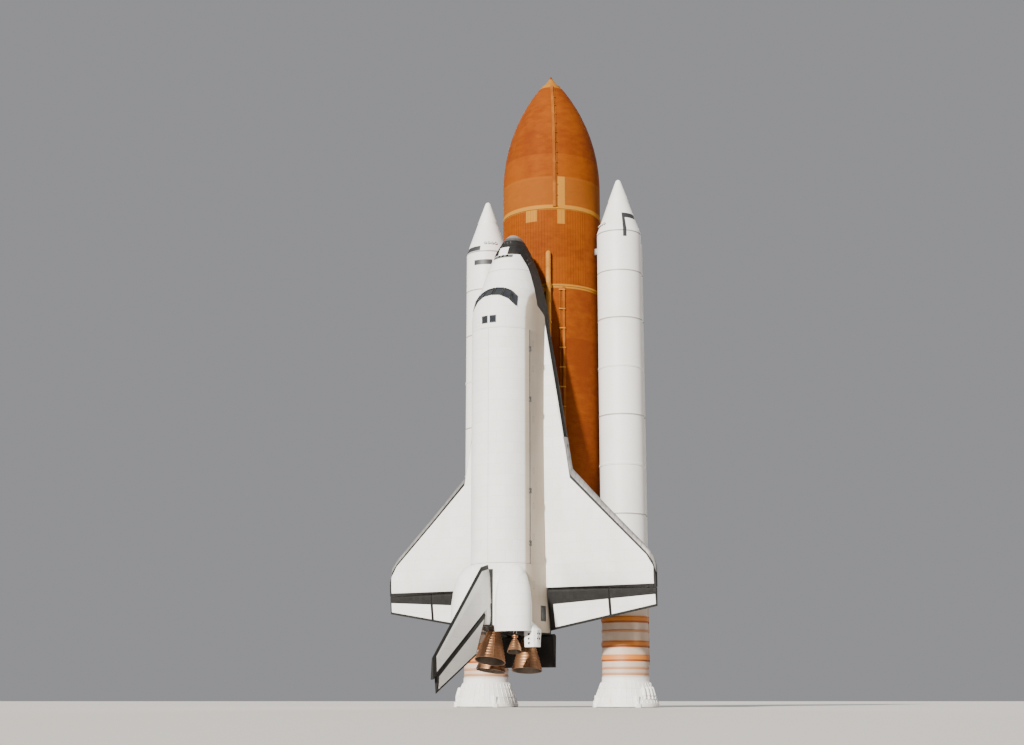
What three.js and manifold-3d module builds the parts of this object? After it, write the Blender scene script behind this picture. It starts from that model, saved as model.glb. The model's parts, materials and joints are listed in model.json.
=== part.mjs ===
// A winged spacecraft on its launch stack: orbiter, external tank and two solid boosters, nose up.
// It is a scale model at half the real size that stands on the boosters' hold-down feet.
// Sizes are real inches in the vehicle's own station numbers, and become millimetres in place().
// Stack frame: +X is the orbiter's starboard wing, -Y is the side its back faces, +Z is the nose.

import * as THREE from 'three';
import { mergeVertices } from 'three/addons/utils/BufferGeometryUtils.js';
import Module from 'manifold-3d';

const wasm = await Module();
wasm.setup();

// Scale and clearances
const modelScale = 0.5;
const inch = 25.4 * modelScale;
const seat = 0.025;              // gap between pieces that touch
const runGap = 0.6;              // gap beside a piece that moves
const weldTolerance = 1e-4;

// Stations: tank station = orbiter station + 741 = booster station + 543
const baseStation = 2473.6;      // tank station of the hold-down feet
const orbiterOffset = 741;
const boosterOffset = 543;
const tankAxisY = 293.5;
const orbiterHeightY = 357;      // stack Y of orbiter height 0

// Tank
const tank = {
  radius: 165.5, tip: 322.5, coneEnd: 371, ogiveEnd: 744, ogiveArc: 612, intertank: 852.8,
  hydrogen: 1123.15, domeStart: 2058, domeEnd: 2173, sides: 36, flange: 2, flangeLength: 5,
};
const trayAngle = 30;
const hydrogenTrayAngle = 40;
const feedline = { angle: 23, radius: 8.5, standoff: 3.2, exit: 1012, elbow: 2085, side: 70 };

// Boosters
const booster = {
  axisX: 250.5, radius: 73, sides: 24, tip: 200, noseEnd: 275, noseRadius: 34, frustumEnd: 395,
  caseEnd: 1837, skirtEnd: 1928.6, skirtRadius: 104.1, skirtWall: 2.5,
};
// Ring columns: station, half width, height above the case
const fieldJoints = [[851.5, 4, 1.8], [1171.5, 4, 1.8], [1491.5, 4, 1.8]];
const attachRing = [1511, 7, 5];
const forwardFitting = { station: 442.7, half: 12 };
// Strut columns: booster end Y, tank end Y, both measured from the tank axis
const aftStruts = [[-52, -52], [-44, 46], [52, 52]];
const strutRadius = 4;
const tunnel = { angle: 130, half: 5, height: 6, start: 420, end: 1800 };
const foot = { count: 4, inner: 92, outer: 108, half: 8, height: 12 };

// Fuselage section columns: station, bottom, top, half width, shoulder height, chine size
const fuselageRows = [
  [235, 337, 339, 1, 338, 0.4],
  [238, 325, 352, 13, 338, 5],
  [247, 318, 364, 24, 339, 9],
  [262, 311, 377, 34, 341, 13],
  [300, 300, 401, 53, 346, 19],
  [350, 291, 422, 71, 354, 20],
  [388, 286.5, 437, 82, 361, 19],
  [434, 285, 454, 92, 371, 15],
  [472, 285, 488, 99, 384, 10],
  [505, 285, 498, 102, 394, 4],
  [540, 285, 502, 102, 400, 1],
  [578, 285, 502, 102, 400, 1],
];
const noseCapEnd = 262;
const bay = { start: 578, end: 1307, floorRadius: 92, height: 400, sill: 418.6, radius: 102, halfWidth: 102 };
const belly = 285;
const cabin = { start: 408, end: 571, wall: 6 };
const basePlane = 1512;

// Window columns: station front inner, rear inner, front outer, rear outer, arc place inner, outer
const windowRows = [
  [440, 468, 443, 471, 0.03, 0.2],
  [445, 473, 454, 484, 0.24, 0.39],
  [458, 487, 475, 506, 0.43, 0.555],
  [540, 561, 540, 561, 0.03, 0.15],
];

const hatch = { station: 530, height: 372, radius: 20, gap: 0.8, thick: 4, axisSide: -104.2, axisDrop: 23 };
const door = { wall: 4.5, hingeSide: 104.5, hingeHeight: 419, gap: 0.3, start: 579, end: 1306 };
const doorHingeStations = [640, 800, 1085, 1245];

// Wing columns: span, leading edge station, greatest thickness, leading edge depth
const wingRows = [
  [102.025, 505, 44, 55],
  [145, 745, 42, 55],
  [188, 1005, 40, 22],
  [300, 1122, 30, 18],
  [440, 1262, 18, 16],
  [460, 1288, 14, 18],
  [468.3, 1318, 10, 20],
];
const dihedral = 3.5;
const elevonHinge = 1387;
const elevonRadius = { root: 14.8, tip: 4, rootSpan: 102, tipSpan: 468 };
const elevonTrailing = { rootSpan: 105, rootStation: 1502, tipSpan: 468, tipStation: 1438 };
const elevonSpans = { inboard: [104.5, 311.7], outboard: [313.3, 467.5] };
// Wing section columns: chord place, upper share of thickness, lower share of thickness
const wingSection = [[0, 0.4, 0.4], [0.012, 0.58, 0.2], [0.05, 0.74, 0.06], [0.2, 0.92, 0], [0.45, 1, 0], [0.75, 0.9, 0]];

// Fin and rudder, in orbiter stations and heights
const fin = {
  rootFront: 1310, kneeStation: 1322, kneeHeight: 542, tipFront: 1596, tipHeight: 816,
  rootHinge: [1441, 500], tipHinge: [1661, 816], rootRadius: 12, tipRadius: 4.5, sink: 492,
};
// Rudder edge columns: place up the hinge line at the front and at the back, and how far back that is
const rudderEdges = [[40, 139, 75.6], [360, 386, 38]];
const rudderTrailing = 0.8;      // half thickness at the back

// Parachute housing columns: station, half width, low and high heights
const housingRows = [[1428, 9, 492, 530], [1462, 10, 492, 529], [1490, 8, 503, 523]];

const flap = { hinge: 1522.6, height: 296, radius: 10, trailing: 1613, edge: 1.2, half: 120 };
// Pod section columns: station, centre side, centre height, half width, half height
const podRows = [
  [1311, 66, 470, 16, 10],
  [1320, 68, 472, 31, 22],
  [1342, 70, 475, 45, 33],
  [1380, 73, 478, 54, 41],
  [1430, 75, 480, 59, 45.5],
  [1511, 76, 482, 59, 46],
];

// Aft thruster housing on each pod: station, then section corners as side and height
const thrusterBlock = [
  [1476, [[100, 452], [112, 450], [118, 454], [117, 464], [113, 468], [102, 468], [98, 462]]],
  [1506, [[106, 440], [145, 437], [150, 443], [149, 466], [141, 476], [112, 478], [106, 471]]],
  [1557, [[108, 442], [144, 439], [148, 444], [148, 465], [140, 474], [114, 476], [108, 470]]],
];

// Engine columns: name, pivot station, side, height, tilt up, tilt out
const mainEngines = [
  ['upper_main_engine', 1445, 0, 443, 16, 0],
  ['left_main_engine', 1468.17, -53, 342.6, 10, -3.5],
  ['right_main_engine', 1468.17, 53, 342.6, 10, 3.5],
];
// Nozzle sizes are distances from the pivot and radii; block is half the gimbal block's side
const mainEngine = {
  plate: 12, block: 8, head: 22, headEnd: 46, throat: 10, throatEnd: 54, exit: 158, exitRadius: 46, sides: 20,
};
const mainWell = { radius: 36, straight: 30, depth: 110, upperMouth: 62, lowerMouth: 36 };
const pivotDepth = 12;
const orbitalEngine = {
  plate: 6, block: 4, head: 10, headEnd: 12, throat: 5, throatEnd: 15, exit: 56, exitRadius: 22, sides: 16,
};
const orbitalPivot = { station: 1518, side: 88, height: 492, tiltUp: 15.8, tiltOut: 6.5 };
const boosterNozzle = {
  plate: 12, block: 8, head: 34, headEnd: 18, throat: 28, throatEnd: 22, exit: 66, exitRadius: 60, sides: 20,
};
const boosterPivot = 1850;
const bellWall = 2;

// Finishes: colour, roughness, metalness
const finishes = {
  foam: [0xb5652a, 0.95, 0], foamDark: [0xa85c28, 0.95, 0], line: [0xc98b4a, 0.7, 0.1],
  steel: [0x8c8880, 0.45, 0.8], boosterWhite: [0xe9e6de, 0.55, 0], tileWhite: [0xe4e2dc, 0.8, 0],
  tileBlack: [0x25262a, 0.75, 0], carbon: [0x6d6a66, 0.6, 0.1], bell: [0x7a6a58, 0.4, 0.7],
  blanket: [0xdad7cf, 0.9, 0],
};

const shuttle = new THREE.Group();

function finish(name) {
  const [color, roughness, metalness] = finishes[name];
  return new THREE.MeshStandardMaterial({ color, roughness, metalness });
}

function place(name, geometry, finishName) {
  const sized = geometry.clone().scale(inch, inch, inch);
  const mesh = new THREE.Mesh(sized, finish(finishName));
  mesh.name = name;
  shuttle.add(mesh);
}

// Closed meshes

function signedVolume(geometry) {
  const { position } = geometry.attributes;
  const [a, b, c] = [new THREE.Vector3(), new THREE.Vector3(), new THREE.Vector3()];
  let volume = 0;
  for (let i = 0; i < geometry.index.count; i += 3) {
    a.fromBufferAttribute(position, geometry.index.getX(i));
    b.fromBufferAttribute(position, geometry.index.getX(i + 1));
    c.fromBufferAttribute(position, geometry.index.getX(i + 2));
    volume += a.dot(b.cross(c)) / 6;
  }
  return volume;
}

// One vertex at each place, no triangle without area, and every face outwards
function closed(geometry) {
  const bare = geometry.clone();
  bare.deleteAttribute('normal');
  bare.deleteAttribute('uv');
  const merged = mergeVertices(bare, weldTolerance);
  const kept = [];
  for (let i = 0; i < merged.index.count; i += 3) {
    const [a, b, c] = [merged.index.getX(i), merged.index.getX(i + 1), merged.index.getX(i + 2)];
    if (a !== b && b !== c && a !== c) kept.push(a, b, c);
  }
  merged.setIndex(kept);
  if (signedVolume(merged) < 0) {
    for (let i = 0; i < kept.length; i += 3) [kept[i], kept[i + 1]] = [kept[i + 1], kept[i]];
    merged.setIndex(kept);
  }
  return merged;
}

function toSolid(geometry) {
  const mesh = closed(geometry);
  const vertProperties = new Float32Array(mesh.attributes.position.array);
  return new wasm.Manifold(new wasm.Mesh({ numProp: 3, vertProperties, triVerts: new Uint32Array(mesh.index.array) }));
}

function fromSolid(solid) {
  const mesh = solid.getMesh();
  const geometry = new THREE.BufferGeometry();
  geometry.setAttribute('position', new THREE.BufferAttribute(new Float32Array(mesh.vertProperties), 3));
  geometry.setIndex(Array.from(mesh.triVerts));
  return geometry;
}

function join(first, ...others) {
  return fromSolid(others.reduce((sum, other) => sum.add(toSolid(other)), toSolid(first)));
}

function cut(first, ...others) {
  return fromSolid(others.reduce((rest, other) => rest.subtract(toSolid(other)), toSolid(first)));
}

// Shapes

// A body turned about Z from [radius, height] pairs, with a flat facing angle 0, which is -Y
function turned(profile, sides) {
  const points = profile.map(([radius, height]) => new THREE.Vector2(radius, height));
  const geometry = new THREE.LatheGeometry(points, sides, Math.PI / sides);
  const { position } = geometry.attributes;
  for (let i = 0; i < points.length; i += 1) {
    const last = sides * points.length + i;
    position.setXYZ(last, position.getX(i), position.getY(i), position.getZ(i));
  }
  return closed(geometry.rotateX(Math.PI / 2));
}

// A skin over sections of equal point count, with flat ends
function loft(sections) {
  const count = sections[0].length;
  const positions = sections.flat().flatMap((p) => [p.x, p.y, p.z]);
  const index = [];
  for (let s = 0; s < sections.length - 1; s += 1) {
    for (let i = 0; i < count; i += 1) {
      const [a, b] = [s * count + i, s * count + (i + 1) % count];
      index.push(a, b, b + count, a, b + count, a + count);
    }
  }
  [0, sections.length - 1].forEach((s) => {
    const flat = flattened(sections[s]);
    const first = s * count;
    THREE.ShapeUtils.triangulateShape(flat, []).forEach(([a, b, c]) => {
      index.push(...(s === 0 ? [first + a, first + c, first + b] : [first + a, first + b, first + c]));
    });
  });
  const geometry = new THREE.BufferGeometry();
  geometry.setAttribute('position', new THREE.Float32BufferAttribute(positions, 3));
  geometry.setIndex(index);
  return closed(geometry);
}

// A flat section's points in two of the three axes, turned to run the way the loft's caps need
function flattened(section) {
  const normal = new THREE.Vector3();
  section.forEach((p, i) => normal.add(p.clone().cross(section[(i + 1) % section.length])));
  const [x, y, z] = normal.toArray().map(Math.abs);
  if (z >= x && z >= y) return section.map((p) => new THREE.Vector2(p.x, normal.z > 0 ? p.y : -p.y));
  if (y >= x) return section.map((p) => new THREE.Vector2(p.z, normal.y > 0 ? p.x : -p.x));
  return section.map((p) => new THREE.Vector2(p.y, normal.x > 0 ? p.z : -p.z));
}

function block([x0, x1], [y0, y1], [z0, z1]) {
  const box = new THREE.BoxGeometry(Math.abs(x1 - x0), Math.abs(y1 - y0), Math.abs(z1 - z0));
  return closed(box.translate((x0 + x1) / 2, (y0 + y1) / 2, (z0 + z1) / 2));
}

function rod(from, to, radius, sides = 8) {
  const along = to.clone().sub(from);
  const cylinder = new THREE.CylinderGeometry(radius, radius, along.length(), sides);
  const turn = new THREE.Quaternion().setFromUnitVectors(new THREE.Vector3(0, 1, 0), along.normalize());
  const middle = from.clone().add(to).multiplyScalar(0.5);
  return closed(cylinder.applyQuaternion(turn).translate(middle.x, middle.y, middle.z));
}

// Stations to stack inches

const tankZ = (station) => baseStation - station;
const boosterZ = (station) => baseStation - boosterOffset - station;
const orbiterZ = (station) => baseStation - orbiterOffset - station;
const at = (station, side, height) => new THREE.Vector3(side, orbiterHeightY - height, orbiterZ(station));

function orbiterBlock([s0, s1], sides, [h0, h1]) {
  return block(sides, [orbiterHeightY - h0, orbiterHeightY - h1], [orbiterZ(s0), orbiterZ(s1)]);
}

function between(table, place, column) {
  const next = Math.max(1, table.findIndex((row, i) => i > 0 && (row[0] >= place || i === table.length - 1)));
  const [a, b] = [table[next - 1], table[next]];
  return a[column] + (b[column] - a[column]) * (place - a[0]) / (b[0] - a[0]);
}

// External tank

const ogiveRadius = (station) => tank.radius - tank.ogiveArc
  + Math.sqrt(tank.ogiveArc ** 2 - (tank.ogiveEnd - station) ** 2);

const ogiveSteps = 8;
const tankProfile = [[3, tank.tip + 1.5], [7, tank.tip + 9]];
for (let i = 0; i <= ogiveSteps; i += 1) {
  const station = tank.coneEnd + (tank.ogiveEnd - tank.coneEnd) * i / ogiveSteps;
  tankProfile.push([ogiveRadius(station), station]);
}
tankProfile.push([tank.radius, tank.intertank]);

const onTank = (geometry, angle) => geometry.rotateZ(THREE.MathUtils.degToRad(angle)).translate(0, tankAxisY, 0);
const tankTurned = (rows) => turned(rows.map(([r, s]) => [r, tankZ(s)]), tank.sides).translate(0, tankAxisY, 0);
const tankFlat = Math.cos(Math.PI / tank.sides);

function tankEnvelope(margin) {
  const rows = [[0, tank.tip], ...tankProfile.map(([r, s]) => [r + margin, s])];
  rows.push([tank.radius + margin, tank.domeStart], ...domeRows(margin), [0, tank.domeEnd]);
  return tankTurned(rows);
}

function domeRows(margin) {
  const depth = tank.domeEnd - tank.domeStart;
  return [20, 40, 60, 78].map((degrees) => {
    const angle = THREE.MathUtils.degToRad(degrees);
    return [(tank.radius + margin) * Math.cos(angle), tank.domeStart + depth * Math.sin(angle)];
  });
}

function addTank() {
  place('liquid_oxygen_tank', tankTurned([[0, tank.tip], ...tankProfile, [0, tank.intertank]]), 'foam');
  const [top, bottom] = [tank.intertank + seat, tank.hydrogen - seat];
  const flange = tank.radius + tank.flange;
  place('intertank', tankTurned([
    [0, top], [flange, top], [flange, top + tank.flangeLength], [tank.radius, top + tank.flangeLength + 1],
    [tank.radius, bottom - tank.flangeLength - 1], [flange, bottom - tank.flangeLength], [flange, bottom],
    [0, bottom],
  ]), 'foamDark');
  place('liquid_hydrogen_tank', tankTurned([
    [0, tank.hydrogen], [tank.radius, tank.hydrogen], [tank.radius, tank.domeStart], ...domeRows(0),
    [0, tank.domeEnd],
  ]), 'foam');
  addTray('oxygen_tank_cable_tray', trayAngle, tankProfile.slice(2), 5, 6);
  const trayRows = [[tank.radius, tank.hydrogen + 3], [tank.radius, tank.domeStart - 12]];
  addTray('hydrogen_tank_cable_tray', hydrogenTrayAngle, trayRows, 4, 5);
}

function addTray(name, angle, rows, half, height) {
  const sections = rows.map(([radius, station]) => {
    const inner = radius * tankFlat + seat * 2;
    const corners = [[-half, inner], [half, inner], [half, inner + height], [-half, inner + height]];
    return corners.map(([x, out]) => new THREE.Vector3(x, -out, tankZ(station)));
  });
  place(name, onTank(loft(sections), angle), 'line');
}

function addFeedline() {
  const out = tank.radius * tankFlat + feedline.standoff + feedline.radius;
  const turn = THREE.MathUtils.degToRad(feedline.angle);
  const radial = (distance, station) => new THREE.Vector3(
    Math.sin(turn) * distance, tankAxisY - Math.cos(turn) * distance, tankZ(station),
  );
  const bellyY = orbiterHeightY - belly + seat;
  const corners = [
    radial(tank.radius - 12, feedline.exit), radial(out - 7, feedline.exit), radial(out, feedline.exit + 14),
    radial(out, feedline.elbow - 24),
    new THREE.Vector3(feedline.side, tankAxisY - out * 0.92 - 8, tankZ(feedline.elbow - 6)),
    new THREE.Vector3(feedline.side, bellyY + 30, tankZ(feedline.elbow)),
    new THREE.Vector3(feedline.side, bellyY, tankZ(feedline.elbow)),
  ];
  const pieces = corners.slice(1).map((corner, i) => rod(corners[i], corner, feedline.radius, 8));
  const knuckles = corners.slice(1, -1).map((corner) => {
    const ball = new THREE.SphereGeometry(feedline.radius, 8, 4);
    return closed(ball.translate(corner.x, corner.y, corner.z));
  });
  const brackets = [1250, 1500, 1750, 2000].map((station) => onTank(
    block([-3, 3], [-out, -tank.radius + 4], [tankZ(station) - 4, tankZ(station) + 4]), feedline.angle,
  ));
  const whole = join(...pieces, ...knuckles, ...brackets);
  const below = block([0, 200], [bellyY - 20, bellyY], [tankZ(2200), tankZ(1900)]);
  place('oxygen_feedline', cut(whole, tankEnvelope(seat), below), 'line');
}

function addOrbiterStruts() {
  const bellyY = orbiterHeightY - belly + seat;
  const apexStation = 1137;
  const apex = new THREE.Vector3(0, bellyY + 6, tankZ(apexStation));
  const legs = [-1, 1].map((side) => rod(
    apex, new THREE.Vector3(side * 46, tankAxisY - tank.radius + 14, tankZ(apexStation)), 4,
  ));
  const pad = block([-8, 8], [bellyY, bellyY + 10], [tankZ(apexStation) - 8, tankZ(apexStation) + 8]);
  place('forward_bipod', cut(join(pad, ...legs), tankEnvelope(seat)), 'steel');

  const beamY = 101;
  const z = tankZ(2050);
  const beam = block([-104, 104], [beamY - 7, beamY + 7], [z - 7, z + 7]);
  const parts = [-1, 1].flatMap((side) => [
    block([side * 89.5, side * 101.5], [bellyY, beamY], [z - 6, z + 6]),
    rod(new THREE.Vector3(side * 96.5, beamY, z), new THREE.Vector3(side * 129, 196, z), 6),
    rod(new THREE.Vector3(side * 96.5, beamY, z), new THREE.Vector3(side * 133, 205, z + 90), 4),
  ]);
  place('aft_attach_frame', cut(join(beam, ...parts), tankEnvelope(seat)), 'steel');

  const umbilical = join(
    rod(new THREE.Vector3(-feedline.side, bellyY, tankZ(feedline.elbow)),
      new THREE.Vector3(-feedline.side, 160, tankZ(feedline.elbow)), 9, 12),
    block([-feedline.side - 13, -feedline.side + 13], [bellyY, bellyY + 12],
      [tankZ(feedline.elbow) - 16, tankZ(feedline.elbow) + 16]),
  );
  place('hydrogen_umbilical', cut(umbilical, tankEnvelope(seat)), 'line');
}

// Boosters

function addBooster(name, side) {
  const move = (geometry) => geometry.translate(side * booster.axisX, tankAxisY, 0);
  const round = (rows) => move(turned(rows.map(([r, s]) => [r, boosterZ(s)]), booster.sides));
  const { radius } = booster;

  place(`${name}_nose_cone`, round([
    [0, booster.tip], [5, booster.tip + 1.5], [10, booster.tip + 7], [booster.noseRadius, booster.noseEnd],
    [radius, booster.frustumEnd], [0, booster.frustumEnd],
  ]), 'boosterWhite');

  const rows = [[0, booster.frustumEnd + seat], [radius, booster.frustumEnd + seat]];
  fieldJoints.forEach(([station, half, height]) => rows.push(
    [radius, station - half], [radius + height, station], [radius, station + half],
  ));
  const [ringStation, ringHalf, ringHeight] = attachRing;
  rows.push(
    [radius, ringStation - ringHalf], [radius + ringHeight, ringStation - ringHalf],
    [radius + ringHeight, ringStation + ringHalf], [radius, ringStation + ringHalf],
    [radius, booster.caseEnd], [0, booster.caseEnd],
  );
  const fitting = move(block(
    [-side * (booster.axisX - tank.radius * tankFlat - seat), -side * (radius - 6)],
    [-forwardFitting.half, forwardFitting.half],
    [boosterZ(forwardFitting.station) - forwardFitting.half, boosterZ(forwardFitting.station) + forwardFitting.half],
  ));
  const strutZ = boosterZ(ringStation);
  const struts = aftStruts.map(([boosterEnd, tankEnd]) => rod(
    new THREE.Vector3(side * (booster.axisX - 50), tankAxisY + boosterEnd, strutZ),
    new THREE.Vector3(side * (tank.radius - 20), tankAxisY + tankEnd, strutZ), strutRadius,
  ));
  const tunnelBox = block([-tunnel.half, tunnel.half], [-radius - tunnel.height, -radius + 4],
    [boosterZ(tunnel.start), boosterZ(tunnel.end)]);
  const tunnelPiece = move(tunnelBox.rotateZ(THREE.MathUtils.degToRad(side * tunnel.angle)));
  const pivot = new THREE.Vector3(side * booster.axisX, tankAxisY, boosterZ(boosterPivot));
  const frame = engineFrame(pivot, new THREE.Vector3(0, 0, -1));
  const lugs = carrierLugs(boosterNozzle, boosterPivot - booster.caseEnd + 2).map((lug) => lug.applyMatrix4(frame));
  const caseBody = cut(join(round(rows), fitting, ...struts, tunnelPiece, ...lugs), tankEnvelope(seat));
  place(`${name}_motor_case`, caseBody, 'boosterWhite');

  const wall = booster.skirtWall;
  const top = booster.caseEnd + seat;
  const shell = round([
    [radius - wall, top], [radius + 1, top], [radius + 1, top + 14], [booster.skirtRadius, booster.skirtEnd - 8],
    [booster.skirtRadius, booster.skirtEnd], [booster.skirtRadius - wall, booster.skirtEnd],
    [booster.skirtRadius - wall, booster.skirtEnd - 8], [radius - wall, top + 14], [radius - wall, top],
  ]);
  const feet = Array.from({ length: foot.count }, (_, i) => {
    const box = block([-foot.half, foot.half], [-foot.outer, -foot.inner], [0, foot.height]);
    return move(box.rotateZ(Math.PI / 4 + i * Math.PI / 2));
  });
  place(`${name}_aft_skirt`, join(shell, ...feet), 'boosterWhite');
  addNozzle(`${name}_nozzle`, boosterNozzle, frame, 'bell');
}

// Gimballed nozzles: the carrier's two lugs hold a block on the pitch pins, and the block holds the
// nozzle's two lugs on the yaw pins. Engine frame: +Z runs from the pivot to the exit, X is the pitch axis.

const pinGap = 0.05;

function engineFrame(pivot, exitDirection) {
  const z = exitDirection.clone().normalize();
  const x = new THREE.Vector3(1, 0, 0).addScaledVector(z, -z.x).normalize();
  const y = z.clone().cross(x);
  return new THREE.Matrix4().makeBasis(x, y, z).setPosition(pivot);
}

function carrierLugs({ block: half }, depth) {
  return [-1, 1].map((side) => block(
    [side * (half + pinGap), side * (half * 1.4)], [-half * 0.4, half * 0.4], [-depth, half * 0.4],
  ));
}

function nozzleBody(size) {
  const { plate, block: half, head, headEnd, throat, throatEnd, exit, exitRadius, sides } = size;
  const bell = [];
  const bellSteps = 4;
  for (let i = 0; i <= bellSteps; i += 1) {
    const share = i / bellSteps;
    bell.push([throat + (exitRadius - throat) * share ** 0.72, throatEnd + (exit - throatEnd) * share]);
  }
  const inside = bell.map(([r, z]) => [r - bellWall, z]).reverse();
  const body = turned([
    [0, plate], [head, plate], [head, headEnd], ...bell, ...inside, [0, throatEnd + 1],
  ], sides);
  const lugs = [-1, 1].map((side) => block(
    [-half * 0.4, half * 0.4], [side * (half + pinGap), side * (half * 1.4)], [-half * 0.4, plate + 1],
  ));
  return join(body, ...lugs);
}

function addNozzle(name, size, frame, finishName) {
  const half = size.block;
  const gimbal = block([-half, half], [-half, half], [-half * 0.4, half * 0.4]);
  place(`${name}_gimbal_block`, gimbal.applyMatrix4(frame), 'steel');
  place(name, nozzleBody(size).applyMatrix4(frame), finishName);
}

// Fuselage

const archSteps = 6;

// Section: flat belly, chine, straight side to the shoulder, then an arch over the back
function fuselageSection(station, grow = 0, square = false) {
  const [bottom, top, half, shoulder, chine] = [1, 2, 3, 4, 5].map((c) => between(fuselageRows, station, c));
  const [w, low, c] = [half + grow, bottom - grow, square ? 1 : chine];
  const points = [[w - c, low], [w, low + c], [w, shoulder]];
  for (let i = 1; i < archSteps; i += 1) {
    const angle = Math.PI / 2 * i / archSteps;
    points.push([w * Math.cos(angle), shoulder + (top + grow - shoulder) * Math.sin(angle)]);
  }
  const mirrored = points.map(([side, height]) => [-side, height]).reverse();
  const outline = [...points, [0, top + grow], ...mirrored];
  return outline.map(([side, height]) => at(station, side, height));
}

// The skin point at a share of the arch, 0 on the back's centre line and 1 at the shoulder
function archPoint(station, share, side) {
  const [top, half, shoulder] = [2, 3, 4].map((c) => between(fuselageRows, station, c));
  const angle = Math.PI / 2 * (1 - share);
  return at(station, side * half * Math.cos(angle), shoulder + (top - shoulder) * Math.sin(angle));
}

function windowCutter([frontIn, rearIn, frontOut, rearOut, inner, outer], side) {
  const corners = [[frontIn, inner], [frontOut, outer], [rearOut, outer], [rearIn, inner]]
    .map(([station, share]) => archPoint(station, share, side));
  const normal = corners[1].clone().sub(corners[0]).cross(corners[3].clone().sub(corners[0])).normalize();
  const depth = 16;
  return loft([-depth, depth].map((d) => corners.map((p) => p.clone().addScaledVector(normal, d))));
}

function addForwardFuselage() {
  const capStations = fuselageRows.map(([s]) => s).filter((s) => s < noseCapEnd);
  const cap = [...capStations, noseCapEnd - seat].map((s) => fuselageSection(s));
  place('nose_cap', loft(cap), 'carbon');

  const stations = fuselageRows.map(([s]) => s).filter((s) => s >= noseCapEnd && s < bay.start);
  const hull = loft([...stations, bay.start - seat].map((s) => fuselageSection(s)));
  const inner = [cabin.start, 434, 472, 505, 540, cabin.end].map((s) => fuselageSection(s, -cabin.wall));
  const windows = [-1, 1].flatMap((side) => windowRows.map((row) => windowCutter(row, side)));
  const hole = rod(at(hatch.station, -bay.halfWidth - 6, hatch.height), at(hatch.station, -80, hatch.height),
    hatch.radius + hatch.gap, 20);
  const axisHeight = hatch.height - hatch.axisDrop;
  const lug = join(
    orbiterBlock([hatch.station - 3, hatch.station + 3], [hatch.axisSide, -100], [axisHeight - 4, axisHeight - 1]),
    rod(at(hatch.station - 3, hatch.axisSide, axisHeight), at(hatch.station + 3, hatch.axisSide, axisHeight), 1.5),
  );
  place('forward_fuselage', join(cut(hull, loft(inner), ...windows, hole), lug), 'tileWhite');
  addHatch(axisHeight);
}

function addHatch(axisHeight) {
  const outer = -bay.halfWidth;
  const disc = rod(at(hatch.station, outer, hatch.height), at(hatch.station, outer + hatch.thick, hatch.height),
    hatch.radius, 20);
  const window = rod(at(hatch.station, outer - 1, hatch.height + 3), at(hatch.station, outer + 9, hatch.height + 3), 5, 12);
  const arms = [-1, 1].flatMap((side) => {
    const [near, far] = [hatch.station + side * (3 + pinGap), hatch.station + side * 6];
    return [
      rod(at(near, hatch.axisSide, axisHeight), at(far, hatch.axisSide, axisHeight), 1.5),
      orbiterBlock([near, far], [outer - 1.6, outer - 0.3], [axisHeight, axisHeight + 8]),
      orbiterBlock([near, far], [outer - 1.6, outer + 0.5], [axisHeight + 4.5, axisHeight + 8]),
    ];
  });
  place('crew_hatch', join(cut(disc, window), ...arms), 'tileWhite');
}

// One hinge along a payload door: the fuselage's knuckle stands between the door's two
const knuckle = { radius: 1.8, half: 3, reach: 8 };

function doorKnuckles(side, station, onDoor) {
  const { hingeSide, hingeHeight } = door;
  const spans = onDoor
    ? [[-knuckle.reach, -knuckle.half - pinGap], [knuckle.half + pinGap, knuckle.reach]]
    : [[-knuckle.half, knuckle.half]];
  return spans.flatMap(([a, b]) => [
    rod(at(station + a, side * hingeSide, hingeHeight), at(station + b, side * hingeSide, hingeHeight), knuckle.radius),
    onDoor
      ? orbiterBlock([station + a, station + b], [side * 97.6, side * hingeSide], [hingeHeight + 0.6, hingeHeight + 3.4])
      : orbiterBlock([station + a, station + b], [side * 100, side * hingeSide], [hingeHeight - 6, hingeHeight - 0.5]),
  ]);
}

function addMidFuselage() {
  const points = [[bay.halfWidth, belly], [bay.halfWidth, bay.sill]];
  const start = Math.asin((bay.sill - bay.height) / bay.floorRadius);
  const steps = 12;
  for (let i = 0; i <= steps; i += 1) {
    const angle = start - (Math.PI + 2 * start) * i / steps;
    points.push([bay.floorRadius * Math.cos(angle), bay.height + bay.floorRadius * Math.sin(angle)]);
  }
  points.push([-bay.halfWidth, bay.sill], [-bay.halfWidth, belly]);
  const trough = loft([bay.start, bay.end].map((s) => points.map(([side, height]) => at(s, side, height))));
  const hinges = [-1, 1].flatMap((side) => doorHingeStations.flatMap((s) => doorKnuckles(side, s, false)));
  place('mid_fuselage', join(trough, ...hinges), 'tileWhite');
}

function addDoor(name, side) {
  const first = Math.asin((door.hingeHeight + 1 - bay.height) / bay.radius);
  const last = Math.acos(door.gap / (bay.radius - door.wall));
  const steps = 9;
  const arc = (radius) => Array.from({ length: steps + 1 }, (_, i) => {
    const angle = first + (last - first) * i / steps;
    return [side * radius * Math.cos(angle), bay.height + radius * Math.sin(angle)];
  });
  const outline = [...arc(bay.radius), ...arc(bay.radius - door.wall).reverse()];
  const panel = loft([door.start, door.end].map((s) => outline.map(([y, h]) => at(s, y, h))));
  const hinges = doorHingeStations.flatMap((s) => doorKnuckles(side, s, true));
  place(name, join(panel, ...hinges), 'blanket');
}

function aftSection(station, grow = 0) {
  return fuselageSection(bay.start, grow, true).map((p) => new THREE.Vector3(p.x, p.y, orbiterZ(station)));
}

function engineAxis(tiltUp, tiltOut) {
  const [up, out] = [tiltUp, tiltOut].map(THREE.MathUtils.degToRad);
  return new THREE.Vector3(Math.sin(out), -Math.sin(up) * Math.cos(out), -Math.cos(up) * Math.cos(out));
}

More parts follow.
